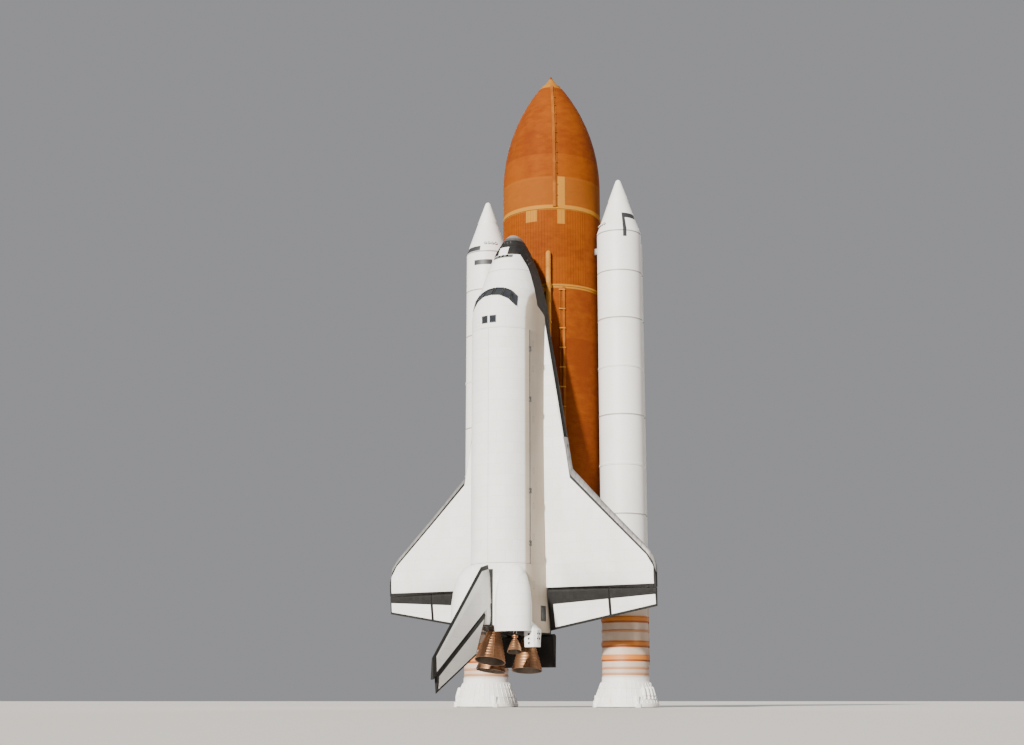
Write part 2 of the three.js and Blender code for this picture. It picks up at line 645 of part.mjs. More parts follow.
function addAftFuselage() {
  const hull = loft([bay.end + seat, basePlane].map((s) => aftSection(s)));
  const [wells, lugs] = [[], []];
  mainEngines.forEach(([name, station, side, height, tiltUp, tiltOut]) => {
    const frame = engineFrame(at(station, side, height), engineAxis(tiltUp, tiltOut));
    const mouth = side === 0 ? mainWell.upperMouth : mainWell.lowerMouth;
    const rows = [
      [0, -pivotDepth], [mainWell.radius, -pivotDepth], [mainWell.radius, mainWell.straight],
      [mouth, mainWell.depth], [0, mainWell.depth],
    ];
    wells.push(turned(rows, mainEngine.sides).applyMatrix4(frame));
    carrierLugs(mainEngine, pivotDepth + 2).forEach((lug) => lugs.push(lug.applyMatrix4(frame)));
    addNozzle(name, mainEngine, frame, 'bell');
  });
  const flapFront = flap.hinge - flap.radius - pinGap;
  const flapLugs = [-70, 0, 70].map((side) => orbiterBlock(
    [basePlane - 4, flapFront], [side - 4, side + 4], [flap.height - 3, flap.height + 3],
  ));
  place('aft_fuselage', join(cut(hull, ...wells), ...lugs, ...flapLugs), 'tileWhite');
  addPods(wells[0]);
}

// The pods' inner edges leave room for the upper engine, as its well does
function addPods(upperWell) {
  const fuselage = loft([bay.end - 20, basePlane + 20].map((s) => aftSection(s, seat)));
  [['left', -1], ['right', 1]].forEach(([word, side]) => {
    const sections = podRows.map(([station, middle, height, halfWide, halfHigh]) => {
      const count = 14;
      return Array.from({ length: count }, (_, i) => {
        const angle = Math.PI * 2 * i / count;
        return at(station, side * (middle + halfWide * Math.cos(angle)), height + halfHigh * Math.sin(angle));
      });
    });
    const { station, side: out, height, tiltUp, tiltOut } = orbitalPivot;
    const frame = engineFrame(at(station, side * out, height), engineAxis(tiltUp, side * tiltOut));
    const lugs = carrierLugs(orbitalEngine, 9).map((lug) => lug.applyMatrix4(frame));
    const thrusters = loft(thrusterBlock.map(([s, corners]) => corners.map(([y, h]) => at(s, side * y, h))));
    place(`${word}_orbital_pod`, join(cut(loft(sections), fuselage, upperWell), thrusters, ...lugs), 'blanket');
    addNozzle(`${word}_orbital_engine`, orbitalEngine, frame, 'bell');
  });
}

// Wings

const wingLow = (span) => belly + Math.tan(THREE.MathUtils.degToRad(dihedral)) * (span - bay.halfWidth);
const hingeHeight = (span) => wingLow(span) + hingeRadius(span);

// The elevons' round noses taper evenly, so that both turn about one straight line
function hingeRadius(span) {
  const { root, tip, rootSpan, tipSpan } = elevonRadius;
  return root + (tip - root) * (span - rootSpan) / (tipSpan - rootSpan);
}

// A half circle ahead of a hinge, from its top round to its bottom
function noseArc(station, height, radius) {
  return [90, 120, 150, 180, 210, 240, 270].map((degrees) => {
    const angle = THREE.MathUtils.degToRad(degrees);
    return [station + radius * Math.cos(angle), height + radius * Math.sin(angle)];
  });
}

function wingOutline([span, lead, thick, depth]) {
  const low = wingLow(span);
  const radius = hingeRadius(span);
  const rear = elevonHinge - radius - runGap;
  const chord = rear - lead;
  const upper = wingSection.map(([c, high]) => [lead + c * chord, low + thick * high]);
  const lower = wingSection.map(([c, , under]) => [lead + c * chord, low + thick * under]);
  return { span, lead, rear, radius, depth, upper, lower, low };
}

const heightOn = (line, station) => between(line, station, 1);

function wingBox(row, side) {
  const { span, lead, rear, radius, depth, upper, lower, low } = wingOutline(row);
  const front = lead + depth + seat;
  const top = [...upper, [rear, low + 2 * radius]];
  const bottom = [...lower, [rear, low]];
  const shares = [0, 0.18, 0.42, 0.72, 1];
  const along = shares.map((share) => front + (rear - front) * share);
  const over = along.map((s) => [s, heightOn(top, s)]);
  const under = along.map((s) => [s, heightOn(bottom, s)]).reverse();
  return [...over, ...under].map(([s, h]) => at(s, side * span, h));
}

function wingEdge(row, side) {
  const { span, lead, depth, upper, lower } = wingOutline(row);
  const back = lead + depth;
  const shares = [1, 0.4, 0.12];
  const over = shares.map((share) => [lead + depth * share, heightOn(upper, lead + depth * share)]);
  const under = shares.map((share) => [lead + depth * share, heightOn(lower, lead + depth * share)]).reverse();
  const nose = [lead, upper[0][1]];
  return [...over, nose, ...under].map(([s, h]) => at(Math.min(s, back), side * span, h));
}

function elevonSection(span, side) {
  const radius = hingeRadius(span);
  const height = hingeHeight(span);
  const { rootSpan, rootStation, tipSpan, tipStation } = elevonTrailing;
  const trailing = rootStation + (tipStation - rootStation) * (span - rootSpan) / (tipSpan - rootSpan);
  const edge = 1;
  const rim = height - radius * 0.6;
  const nose = noseArc(elevonHinge, height, radius);
  const points = [...nose, [trailing, rim - edge], [trailing, rim + edge]];
  return points.map(([s, h]) => at(s, side * span, h));
}

function addWing(word, side) {
  place(`${word}_wing_leading_edge`, loft(wingRows.map((row) => wingEdge(row, side))), 'carbon');
  const lugs = [140, 275, 345, 440].map((span) => {
    const front = elevonHinge - hingeRadius(span - 3) - 4;
    const back = elevonHinge - hingeRadius(span - 3) - pinGap;
    const height = hingeHeight(span);
    return orbiterBlock([front, back], [side * (span - 3), side * (span + 3)], [height - 2, height + 2]);
  });
  place(`${word}_wing`, join(loft(wingRows.map((row) => wingBox(row, side))), ...lugs), 'tileWhite');
  Object.entries(elevonSpans).forEach(([part, spans]) => {
    place(`${word}_${part}_elevon`, loft(spans.map((span) => elevonSection(span, side))), 'tileWhite');
  });
}

function addBodyFlap() {
  const rim = flap.height - 6;
  const nose = noseArc(flap.hinge, flap.height, flap.radius);
  const points = [...nose, [flap.trailing, rim - flap.edge], [flap.trailing, rim + flap.edge]];
  const sections = [-flap.half, flap.half].map((side) => points.map(([s, h]) => at(s, side, h)));
  place('body_flap', loft(sections), 'tileBlack');
}

// Fin: its sections are square to the hinge line, at places measured up that line

const hingeStart = new THREE.Vector2(...fin.rootHinge);
const hingeRun = new THREE.Vector2(...fin.tipHinge).sub(hingeStart);
const hingeLength = hingeRun.length();
const hingeUp = hingeRun.clone().normalize();
const hingeAft = new THREE.Vector2(hingeUp.y, -hingeUp.x);
const finRadius = (up) => fin.rootRadius + (fin.tipRadius - fin.rootRadius) * up / hingeLength;

// A point from its place up the hinge line, its distance aft of it and its side
function finPoint(up, aft, side) {
  const p = hingeStart.clone().addScaledVector(hingeUp, up).addScaledVector(hingeAft, aft);
  return at(p.x, side, p.y);
}

function addFin() {
  const line = (from, to, share) => [from[0] + (to[0] - from[0]) * share, from[1] + (to[1] - from[1]) * share];
  const gap = runGap;
  const rearLow = [fin.rootHinge[0] - (fin.rootRadius + gap) / hingeUp.y, fin.rootHinge[1]];
  const rearHigh = [fin.tipHinge[0] - (fin.tipRadius + gap) / hingeUp.y, fin.tipHinge[1]];
  const slope = (rearHigh[0] - rearLow[0]) / (rearHigh[1] - rearLow[1]);
  const rearAt = (height) => rearLow[0] + slope * (height - rearLow[1]);
  // Level columns: height, front station, half thickness at the rear
  const levels = [
    [fin.sink, fin.rootFront, fin.rootRadius], [fin.kneeHeight, fin.kneeStation, fin.rootRadius * 0.88],
    [fin.tipHeight, fin.tipFront, fin.tipRadius],
  ];
  const sections = levels.map(([height, front, thick]) => {
    const rear = [rearAt(height), thick];
    const nose = [front, 1.5];
    const mid = line(nose, rear, 0.3);
    const half = [nose, [mid[0], thick * 0.62], rear];
    const outline = [...half, ...half.map(([s, t]) => [s, -t]).reverse()];
    return outline.map(([s, t]) => at(s, t, height));
  });
  const fuselage = loft([bay.end - 20, basePlane + 20].map((s) => aftSection(s, seat)));
  const lugs = [60, 190, 330].map((up) => {
    const reach = finRadius(up - 3);
    const corners = [[-reach - 6, -2], [-reach - pinGap, -2], [-reach - pinGap, 2], [-reach - 6, 2]];
    return loft([up - 3, up + 3].map((u) => corners.map(([aft, side]) => finPoint(u, aft, side))));
  });
  // The drag parachute's housing, behind the fin's root and under the rudder's foot
  const housing = loft(housingRows.map(([station, half, low, high]) => [
    at(station, half, low), at(station, half, high - 6), at(station, half * 0.6, high),
    at(station, -half * 0.6, high), at(station, -half, high - 6), at(station, -half, low),
  ]));
  place('fin', join(cut(loft(sections), fuselage), cut(housing, fuselage), ...lugs), 'blanket');
}

function addRudder() {
  const arcSteps = 6;
  const spar = rudderEdges.map(([up]) => {
    const radius = finRadius(up);
    return Array.from({ length: arcSteps + 1 }, (_, i) => {
      const angle = Math.PI / 2 + Math.PI * i / arcSteps;
      return finPoint(up, radius * Math.cos(angle), radius * Math.sin(angle));
    });
  });
  place('rudder_spar', loft(spar), 'blanket');
  [['left', -1], ['right', 1]].forEach(([word, side]) => {
    const sections = rudderEdges.map(([up, backUp, chord]) => {
      const front = seat * 2;
      const outline = [[front, 0.25], [front, finRadius(up)], [chord, rudderTrailing + 0.25], [chord, 0.25]];
      return outline.map(([aft, y]) => finPoint(up + (backUp - up) * aft / chord, aft, side * y));
    });
    place(`${word}_rudder_panel`, loft(sections), 'blanket');
  });
}

addTank();
addFeedline();
addOrbiterStruts();
addBooster('left_booster', -1);
addBooster('right_booster', 1);
addForwardFuselage();
addMidFuselage();
addDoor('left_payload_door', -1);
addDoor('right_payload_door', 1);
addWing('left', -1);
addWing('right', 1);
addAftFuselage();
addBodyFlap();
addFin();
addRudder();

export default shuttle;
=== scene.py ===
import json
import math

import bpy
from mathutils import Matrix, Vector

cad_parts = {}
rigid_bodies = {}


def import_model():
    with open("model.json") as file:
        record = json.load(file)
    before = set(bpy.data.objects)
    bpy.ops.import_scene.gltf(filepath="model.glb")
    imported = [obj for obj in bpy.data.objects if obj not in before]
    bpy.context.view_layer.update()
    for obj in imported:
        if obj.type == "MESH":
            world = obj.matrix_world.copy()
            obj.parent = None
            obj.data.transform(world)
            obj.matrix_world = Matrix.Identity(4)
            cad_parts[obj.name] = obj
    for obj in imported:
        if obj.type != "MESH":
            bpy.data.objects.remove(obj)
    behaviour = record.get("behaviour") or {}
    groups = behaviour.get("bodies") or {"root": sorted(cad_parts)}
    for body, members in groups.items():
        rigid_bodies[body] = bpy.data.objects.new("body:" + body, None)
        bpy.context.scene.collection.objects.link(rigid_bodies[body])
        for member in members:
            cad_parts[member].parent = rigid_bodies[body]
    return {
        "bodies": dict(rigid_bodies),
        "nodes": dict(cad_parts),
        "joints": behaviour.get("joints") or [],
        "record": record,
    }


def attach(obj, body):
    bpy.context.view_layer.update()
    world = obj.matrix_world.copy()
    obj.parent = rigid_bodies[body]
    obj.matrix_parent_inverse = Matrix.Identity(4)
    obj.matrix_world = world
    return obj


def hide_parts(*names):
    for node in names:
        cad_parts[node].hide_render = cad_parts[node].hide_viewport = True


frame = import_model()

# Sizes are the real shuttle's inches, and the model is half as large. A station counts inches down
# from the zero of its own body, and each zero is given as a height above the floor.
inch = 0.0127
tankZero, boosterZero, orbiterZero, orbiterLevel = 2473.6, 1930.6, 1732.6, 357
tankAxis, boosterSide = 293.5, 250.5
bothSides = (("left", -1), ("right", 1))
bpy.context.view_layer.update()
scene = bpy.context.scene

# View, light and floor, in metres and degrees
view = {
    "distance": 60.0, "turn": 28.5, "eye": 0.28, "aim": 13.2, "sideways": 0.05, "lens": 53.5, "far": 400.0,
}
stageLook = {
    # Each lamp: turn, rise, power, softness and colour
    "lamps": {"sun": (1.0, 31.0, 9.0, 4.0, (1.0, 0.95, 0.87)),
              "fill": (205.0, 30.0, 1.3, 40.0, (0.85, 0.92, 1.0))},
    "lampDistance": 60, "lampAim": (0, 0, 8), "sky": (0.96, 0.96, 1.0), "skyPower": 0.32,
    "floorSize": 900, "floor": (0.60, 0.565, 0.52), "floorRoughness": 0.9,
}


def aimed(data, name, place, target):
    thing = bpy.data.objects.new(name, data)
    scene.collection.objects.link(thing)
    thing.location = place
    thing.rotation_euler = (Vector(target) - place).to_track_quat("-Z", "Y").to_euler()
    return thing


def around(turn, rise, distance):
    turn, rise = math.radians(turn), math.radians(rise)
    level = math.cos(rise)
    return Vector((math.sin(turn) * level, -math.cos(turn) * level, math.sin(rise))) * distance


def setStage():
    look = stageLook
    cameraData = bpy.data.cameras.new("viewCamera")
    cameraData.lens, cameraData.clip_end = view["lens"], view["far"]
    spot = around(view["turn"], 0, view["distance"])
    spot.z = view["eye"]
    target = around(view["turn"] + 90, 0, view["sideways"]) + Vector((0, 0, view["aim"]))
    scene.camera = aimed(cameraData, "viewCamera", spot, target)

    for word, (turn, rise, power, softness, colour) in look["lamps"].items():
        lamp = bpy.data.lights.new(word, "SUN")
        lamp.energy, lamp.angle, lamp.color = power, math.radians(softness), colour
        aimed(lamp, word, around(turn, rise, look["lampDistance"]), look["lampAim"])

    scene.world = bpy.data.worlds.new("softSky")
    scene.world.use_nodes = True
    background = scene.world.node_tree.nodes["Background"]
    background.inputs["Color"].default_value = (*look["sky"], 1)
    background.inputs["Strength"].default_value = look["skyPower"]

    bpy.ops.mesh.primitive_plane_add(size=look["floorSize"], location=(0, 0, 0))
    floor = bpy.context.object
    floor.name = "paleFloor"
    floorPaint = bpy.data.materials.new("paleFloor")
    floorPaint.use_nodes = True
    shader = floorPaint.node_tree.nodes["Principled BSDF"]
    shader.inputs["Base Color"].default_value = (*look["floor"], 1)
    shader.inputs["Roughness"].default_value = look["floorRoughness"]
    floor.data.materials.append(floorPaint)


setStage()
print("camera, light and floor set")


# Places in real inches
def onOrbiter(station, side, height):
    return Vector((side, orbiterLevel - height, orbiterZero - station))


def onTank(angle, out, station):
    # Angle round the tank, from the orbiter's side towards the right booster
    turn = math.radians(angle)
    return Vector((math.sin(turn) * out, tankAxis - math.cos(turn) * out, tankZero - station))


def fromStations(rows, zero):
    return [(radius, zero - station) for radius, station in rows]


# Material building
def operation(name, swapped=False):
    return lambda *values: calc(name, *(values[::-1] if swapped else values))


class Value:
    # A number or colour that a material works out at each point. A mask runs from 0 to 1, and * joins masks.
    def __init__(self, socket):
        self.socket = socket

    __add__, __sub__, __mul__, __truediv__ = map(operation, ("ADD", "SUBTRACT", "MULTIPLY", "DIVIDE"))
    __gt__, __lt__, __abs__ = map(operation, ("GREATER_THAN", "LESS_THAN", "ABSOLUTE"))
    __rsub__ = operation("SUBTRACT", True)


def addNode(kind, sockets, **settings):
    # A node in the tree of the values that go into it
    tree = next(value.socket.id_data for value in sockets.values() if isinstance(value, Value))
    made = tree.nodes.new("ShaderNode" + kind)
    for key, value in settings.items():
        setattr(made, key, value)
    for key, value in sockets.items():
        socket = made.inputs[key]
        if isinstance(value, Value):
            tree.links.new(value.socket, socket)
        else:
            socket.default_value = (*value, 1) if socket.type == "RGBA" else value
    return made


def valueOf(kind, output, sockets, **settings):
    return Value(addNode(kind, sockets, **settings).outputs[output])


def calc(operation, *values, clamp=False):
    return valueOf("Math", 0, dict(enumerate(values)), operation=operation, use_clamp=clamp)


def clamped(value, factor, offset):
    return calc("MULTIPLY_ADD", value, factor, offset, clamp=True)


def mixed(share, first, second):
    return valueOf("Mix", 2, {0: share, 6: first, 7: second}, data_type="RGBA")


def split(vector):
    return [Value(socket) for socket in addNode("SeparateXYZ", {"Vector": vector}).outputs]


def soft(value, low, high):
    # 0 below low, 1 above high
    return valueOf("MapRange", "Result", {"Value": value, "From Min": low, "From Max": high},
                   interpolation_type="SMOOTHSTEP")


def above(value, limit, blur=0.5):
    return soft(value, limit - blur, limit + blur)


def below(value, limit, blur=0.5):
    return 1.0 - above(value, limit, blur)


def within(value, middle, half, blur=0.5):
    return below(abs(value - middle), half, blur)


def either(*masks):
    result = masks[0]
    for mask in masks[1:]:
        result = calc("MAXIMUM", result, mask)
    return result


def turnOf(x, ahead):
    return calc("DEGREES", calc("ARCTAN2", x, ahead))


def line(value, points):
    # Straight lines through (value, result) points
    (firstX, _), (lastX, _) = points[0], points[-1]
    results = [y for _, y in points]
    low, high = min(results), max(results)
    share = valueOf("MapRange", "Result", {"Value": value, "From Min": firstX, "From Max": lastX})
    made = addNode("FloatCurve", {"Value": share})
    curve = made.mapping.curves[0]
    scaled = [((x - firstX) / (lastX - firstX), (y - low) / ((high - low) or 1)) for x, y in points]
    curve.points[0].location, curve.points[1].location = scaled[0], scaled[-1]
    for spot in scaled[1:-1]:
        curve.points.new(*spot)
    for spot in curve.points:
        spot.handle_type = "VECTOR"
    made.mapping.update()
    return Value(made.outputs["Value"]) * (high - low) + low


def outline(across, along, place, size, thick):
    # The line round a rectangle: its middle and half sizes
    def filled(grow):
        return within(across, place[0], size[0] + grow, 0.2) * within(along, place[1], size[1] + grow, 0.2)

    return calc("SUBTRACT", filled(thick), filled(0), clamp=True)


def ring(across, along, middle, radius, thick):
    first, second = across - middle[0], along - middle[1]
    return within(calc("SQRT", first * first + second * second), radius, thick, 0.3)


def tiles(panel, width, height, gap, first, second, joint, offset=0.5):
    made = addNode("TexBrick", {
        "Vector": panel, "Color1": first, "Color2": second, "Mortar": joint, "Scale": 1.0,
        "Mortar Size": gap, "Mortar Smooth": 0.2, "Brick Width": width, "Row Height": height,
    }, offset=offset)
    return Value(made.outputs["Color"]), Value(made.outputs["Fac"])


class Surface:
    # A material with its shader and its object coordinates
    def __init__(self, name, roughness, metallic=0.0, **extra):
        self.material = bpy.data.materials.new(name)
        self.material.use_nodes = True
        nodes = self.material.node_tree.nodes
        self.shader = nodes["Principled BSDF"]
        for key, value in {"Roughness": roughness, "Metallic": metallic, **extra}.items():
            self.shader.inputs[key].default_value = value
        coords = nodes.new("ShaderNodeTexCoord")
        self.place, self.normal = Value(coords.outputs["Object"]), Value(coords.outputs["Normal"])
        self.x, self.y, self.z = split(self.place)

    def noise(self, scale, detail=3.0, stretch=(1, 1, 1), rough=0.55):
        spread = valueOf("Mapping", "Vector", {"Vector": self.place, "Scale": stretch})
        return valueOf("TexNoise", "Fac",
                       {"Vector": spread, "Scale": scale, "Detail": detail, "Roughness": rough})

    def setPlaces(self):
        # The place on the orbiter, and the two directions that a panel pattern runs in
        self.side, self.height = self.x / inch, orbiterLevel - self.y / inch
        self.station = orbiterZero - self.z / inch
        self.facing = split(self.normal)
        across = valueOf("Mix", 0, {0: abs(self.facing[0]) > 0.7, 2: self.x, 3: self.y})
        self.panel = valueOf("CombineXYZ", 0, {"X": across, "Y": self.z})

    def finished(self, colour, roughness, *layers):
        # Layers of relief: height, strength, distance in metres
        inputs = {"Base Color": colour, "Roughness": roughness}
        for height, strength, distance in layers:
            sockets = {"Height": height, "Strength": strength, "Distance": distance}
            if "Normal" in inputs:
                sockets["Normal"] = inputs["Normal"]
            inputs["Normal"] = valueOf("Bump", "Normal", sockets)
        for key, value in inputs.items():
            if value:
                self.material.node_tree.links.new(value.socket, self.shader.inputs[key])
        return self.material


# Finishes
dull = {"Specular IOR Level": 0.15}
satin = {"Specular IOR Level": 0.3}
foamLook = {
    "light": (0.25, 0.058, 0.0012), "deep": (0.165, 0.030, 0.0006), "tan": (0.45, 0.205, 0.022),
    "barrel": (0.30, 0.094, 0.008), "grain": (0.09, 0.016, 0.001), "barrelLength": 1.15,
    # Station, half length and blur of the paler barrel and of the tip, then the bands
    "paleBarrel": (798, 53, 2), "tip": (356, 22, 2), "bands": [(852.8, 8), (1123.15, 7), (2058, 7)],
    # Sprayed over by hand: angle round the tank, half angle, station, half length
    "patches": [(2.5, 7, 877, 23), (38, 4.5, 828, 82), (-2, 13, 1140, 15), (-34, 5, 1300, 12)],
}


def tankFoam(name):
    look, foam = foamLook, Surface(name, 0.85, **dull)
    station = tankZero - foam.z / inch
    angle = turnOf(foam.x, tankAxis * inch - foam.y)
    clouds, spray = foam.noise(0.55, 4, (1, 1, 0.35)), foam.noise(2.4, 5, (1, 1, 2.2))
    grain = foam.noise(26, 6, rough=0.7)
    barrels = valueOf("TexWhiteNoise", "Value", {"W": calc("FLOOR", foam.z / look["barrelLength"])},
                      noise_dimensions="1D")
    tone = clouds * 0.6 + spray * 0.4 + (barrels * 0.14 - 0.07)
    colour = mixed(soft(tone, 0.34, 0.68), look["deep"], look["light"])
    colour = mixed(within(station, *look["paleBarrel"]) * 0.55, colour, look["barrel"])
    bands = either(*[within(station, at, half, 1.5) for at, half in look["bands"]],
                   within(station, *look["tip"]) * 0.8,
                   *[within(angle, turn, spread, 0.4) * within(station, at, half, 1)
                     for turn, spread, at, half in look["patches"]])
    colour = mixed(bands * (clouds * 0.4 + 0.62), colour, look["tan"])
    ridges = valueOf("TexWave", "Fac", {"Vector": foam.place, "Scale": 4.2, "Distortion": 1.4, "Detail": 2.0},
                     wave_type="BANDS", bands_direction="Z")
    return foam.finished(mixed(grain * 0.2, colour, look["grain"]), grain * 0.2 + 0.72,
                         (ridges, 0.25, 0.006), (spray, 0.5, 0.02), (bands, 0.4, 0.015), (grain, 0.5, 0.006))


def lineFoam(name, first, second, deep):
    foam = Surface(name, 0.8, **dull)
    grain, cloud = foam.noise(18, 6, rough=0.7), foam.noise(1.6, 3)
    colour = mixed(grain * 0.3, mixed(soft(cloud, 0.35, 0.7), first, second), deep)
    return foam.finished(colour, None, (grain, 0.6, 0.005), (cloud, 0.3, 0.02))


def shaded(colour, red, green, blue):
    return colour[0] * red, colour[1] * green, colour[2] * blue


def steelFinish(name, colour, roughness):
    steel = Surface(name, roughness, 0.85)
    worn, fine = steel.noise(5, 6, rough=0.7), steel.noise(60, 3, (1, 1, 0.1))
    tone = mixed(soft(worn, 0.35, 0.7), colour, shaded(colour, 0.55, 0.55, 0.55))
    return steel.finished(tone, fine * 0.25 + (roughness - 0.1), (fine, 0.15, 0.001), (worn, 0.2, 0.003))


boosterLook = {
    "white": (0.87, 0.86, 0.84), "grime": (0.58, 0.49, 0.40), "blush": (0.43, 0.27, 0.17),
    # The dark colour under each tan ring is painted shade
    "ring": (0.54, 0.165, 0.007), "ringUnderShade": (0.22, 0.05, 0.008), "thinRing": (0.42, 0.16, 0.045),
    "joint": (0.14, 0.12, 0.11), "mark": (0.03, 0.03, 0.035),
    # Stations of what goes round the case
    "tanRings": (1661, 1737, 1780), "thinRings": (1697, 1811, 1829), "blushBand": (1715, 122, 10),
    "seams": (397, 532, 691, 1011, 1331, 1577), "faintSeams": (851.5, 1171.5, 1491.5), "dirt": (900, 1900),
    # Black marks for the tracking cameras: station, half length, turn and half turn round the booster
    "rightMarks": [(339, 9, 66, 31), (374, 44, 40, 5)], "leftMarks": [(385, 9, -27, 35), (436, 9, 16, 26)],
}


def boosterPaint(name):
    look, case = boosterLook, Surface(name, 0.5)
    station = boosterZero - case.z / inch
    streaks, cloud, speck = case.noise(3.0, 5, (1, 1, 0.06)), case.noise(0.9, 5), case.noise(30, 4)

    def bandsAt(stations, half, blur):
        return either(*[within(station, at, half, blur) for at in stations])

    dirt = soft(streaks, 0.5, 0.8) * (soft(station, *look["dirt"]) * 0.4 + 0.14)
    colour = mixed(dirt, look["white"], look["grime"])
    colour = mixed(soft(cloud, 0.45, 0.75) * 0.13, colour, look["grime"])
    colour = mixed(within(station, *look["blushBand"]) * clamped(cloud, 0.6, 0.45), colour, look["blush"])
    colour = mixed(bandsAt(look["thinRings"], 4, 1) * 0.75, colour, look["thinRing"])
    colour = mixed(bandsAt(look["tanRings"], 10.5, 1.2) * clamped(cloud, 0.4, 0.74), colour, look["ring"])
    # Painted shade: a dark band along the lower edge of each tan ring and just under it
    colour = mixed(bandsAt([at + 8.0 for at in look["tanRings"]], 3.0, 0.8) * 0.8, colour, look["ringUnderShade"])
    seams = either(bandsAt(look["seams"], 2.0, 0.5), bandsAt(look["faintSeams"], 0.9, 0.4) * 0.3)
    colour = mixed(seams * 0.75, colour, look["joint"])
    right = case.x > 0.0
    turn = turnOf(case.x - (right * (2 * boosterSide * inch) - boosterSide * inch), tankAxis * inch - case.y)
    leftMarks, rightMarks = [
        either(*[within(station, at, half, 0.6) * within(turn, middle, spread, 0.5)
                 for at, half, middle, spread in look[word + "Marks"]]) for word, _ in bothSides]
    marks = valueOf("Mix", 0, {0: right, 2: leftMarks, 3: rightMarks})
    return case.finished(mixed(marks, colour, look["mark"]), cloud * 0.25 + 0.38,
                         (streaks, 0.12, 0.004), (speck, 0.2, 0.002), (cloud, 0.15, 0.012))


def bellMetal(name, colour):
    bell = Surface(name, 0.38, 0.9)
    heat, fine = bell.noise(1.5, 5, (1, 1, 0.5)), bell.noise(45, 3, (1, 1, 0.15))
    tone = mixed(soft(heat, 0.3, 0.7), colour, shaded(colour, 0.5, 0.45, 0.42))
    return bell.finished(mixed(fine * 0.25, tone, (0.05, 0.045, 0.04)), fine * 0.3 + 0.28,
                         (fine, 0.25, 0.002), (heat, 0.2, 0.006))


def darkGlass(name):
    glass = Surface(name, 0.06, **{"Coat Weight": 0.6, "Coat Roughness": 0.04})
    haze = glass.noise(8, 3)
    return glass.finished(mixed(haze, (0.012, 0.014, 0.018), (0.03, 0.034, 0.04)), haze * 0.12 + 0.03,
                          (haze, 0.05, 0.002))


orbiterLook = {
    "white": (0.88, 0.88, 0.865), "whiteAgain": (0.83, 0.83, 0.815), "whiteShade": (0.74, 0.73, 0.70),
    # The side walls' tan is partly their blankets' own colour and partly painted shade
    "quiltSeam": (0.75, 0.74, 0.725), "wall": (0.375, 0.275, 0.175), "black": (0.0075, 0.007, 0.0065),
    "blackShade": (0.014, 0.0135, 0.013), "blackWorn": (0.055, 0.052, 0.048),
    "tileGap": (0.004, 0.004, 0.004), "tile": 0.1524, "quilt": 0.42, "stitch": 0.0254,
    # Height of the black tiles' upper edge along the sides, by station
    "lowLine": [(235, 352), (250, 368), (262, 376), (300, 384), (328, 382), (368, 373), (443, 369),
                (488, 367), (512, 320), (560, 309), (700, 299), (1000, 294), (1620, 292)],
    # Windshield edges: distance from the middle, front station, rear station
    "screen": [(0, 440, 468), (29, 443, 471), (55, 454, 484), (75, 475, 506), (92, 500, 520)],
    "screenEnd": 76.5, "screenFoot": 415, "vents": (620, 700, 860, 1020, 1130, 1225), "wallSide": 100.0,
    # Leading edge by span, and the depth of the black tiles behind it
    "wingLead": [(102, 505), (145, 745), (188, 1005), (300, 1122), (440, 1262), (460, 1288), (469, 1318)],
    "wingDepth": [(102, 34), (145, 34), (188, 33), (300, 27), (440, 24), (469, 34)],
    "elevonFront": [(105, 1424), (468, 1403)], "elevonRear": [(102, 1502.5), (468, 1438)],
    "finLead": [(492, 1310), (542, 1322), (816, 1596)], "finEdge": 13, "finTop": 797.5,
    # A point on the rudder's hinge line, and that line's slope
    "rudderFoot": (1441, 500), "rudderSlope": (0.821, 0.571),
}


def orbiterSkin(name, darkOf):
    # White blanket above, black tiles below; darkOf gives the mask of the black parts
    look, skin = orbiterLook, Surface(name, 0.7, **satin)
    skin.setPlaces()
    dark = darkOf(skin)
    quilt, quiltGap = tiles(skin.panel, look["quilt"] * 1.6, look["quilt"], 0.006,
                            look["white"], look["whiteAgain"], look["quiltSeam"])
    cloud, fleck = skin.noise(1.1, 5, (1, 1, 0.3)), skin.noise(22, 5, rough=0.65)
    streak = skin.noise(5, 4, (1, 1, 0.05))
    light = mixed(soft(cloud, 0.42, 0.8) * 0.5, quilt, look["whiteShade"])
    light = mixed(soft(streak, 0.55, 0.85) * 0.25, light, look["whiteShade"])
    # The fuselage's upright walls are tan: partly their slightly different blankets, mostly painted shade, as
    # these walls lie in shade
    wall = soft(abs(skin.facing[0]), 0.75, 0.95) * within(abs(skin.side), 103, 9, 2)
    light = mixed(wall * clamped(cloud, 0.4, 0.6), light, look["wall"])
    blackTile, tileGap = tiles(skin.panel, look["tile"], look["tile"], 0.004,
                               look["black"], look["blackShade"], look["tileGap"], 0.0)
    worn = mixed(soft(fleck, 0.58, 0.82) * 0.22, blackTile, look["blackWorn"])
    gaps = quiltGap * (1.0 - dark) + tileGap * dark
    waves = [abs(calc("SINE", value * (math.pi / look["stitch"]))) for value in split(skin.panel)[:2]]
    puff = waves[0] * waves[1] * (1.0 - dark)
    return skin.finished(mixed(dark, light, worn), fleck * 0.25 + 0.5,
                         (puff, 0.25, 0.003), (1.0 - gaps, 0.5, 0.004), (fleck, 0.2, 0.002))


def carbonFinish(name, pale, deep, fibre, tip=None):
    carbon = Surface(name, 0.5, 0.1)
    worn, weave = carbon.noise(2.5, 6, rough=0.65), carbon.noise(40, 3)
    across = abs(carbon.x)
    seam = (across > 150 * inch) * (calc("FRACT", across / (14.6 * inch)) < 0.07)
    colour = mixed(soft(worn, 0.35, 0.7), pale, deep)
    colour = mixed(seam * 0.85, colour, (0.03, 0.03, 0.03))
    if tip:
        # The foremost inches are paler
        colour = mixed(below(orbiterZero - carbon.z / inch, 249.5, 6.5), colour, tip)
    return carbon.finished(mixed(weave * 0.2, colour, fibre), worn * 0.3 + 0.35,
                           (1.0 - seam, 0.6, 0.004), (weave, 0.2, 0.001), (worn, 0.15, 0.004))


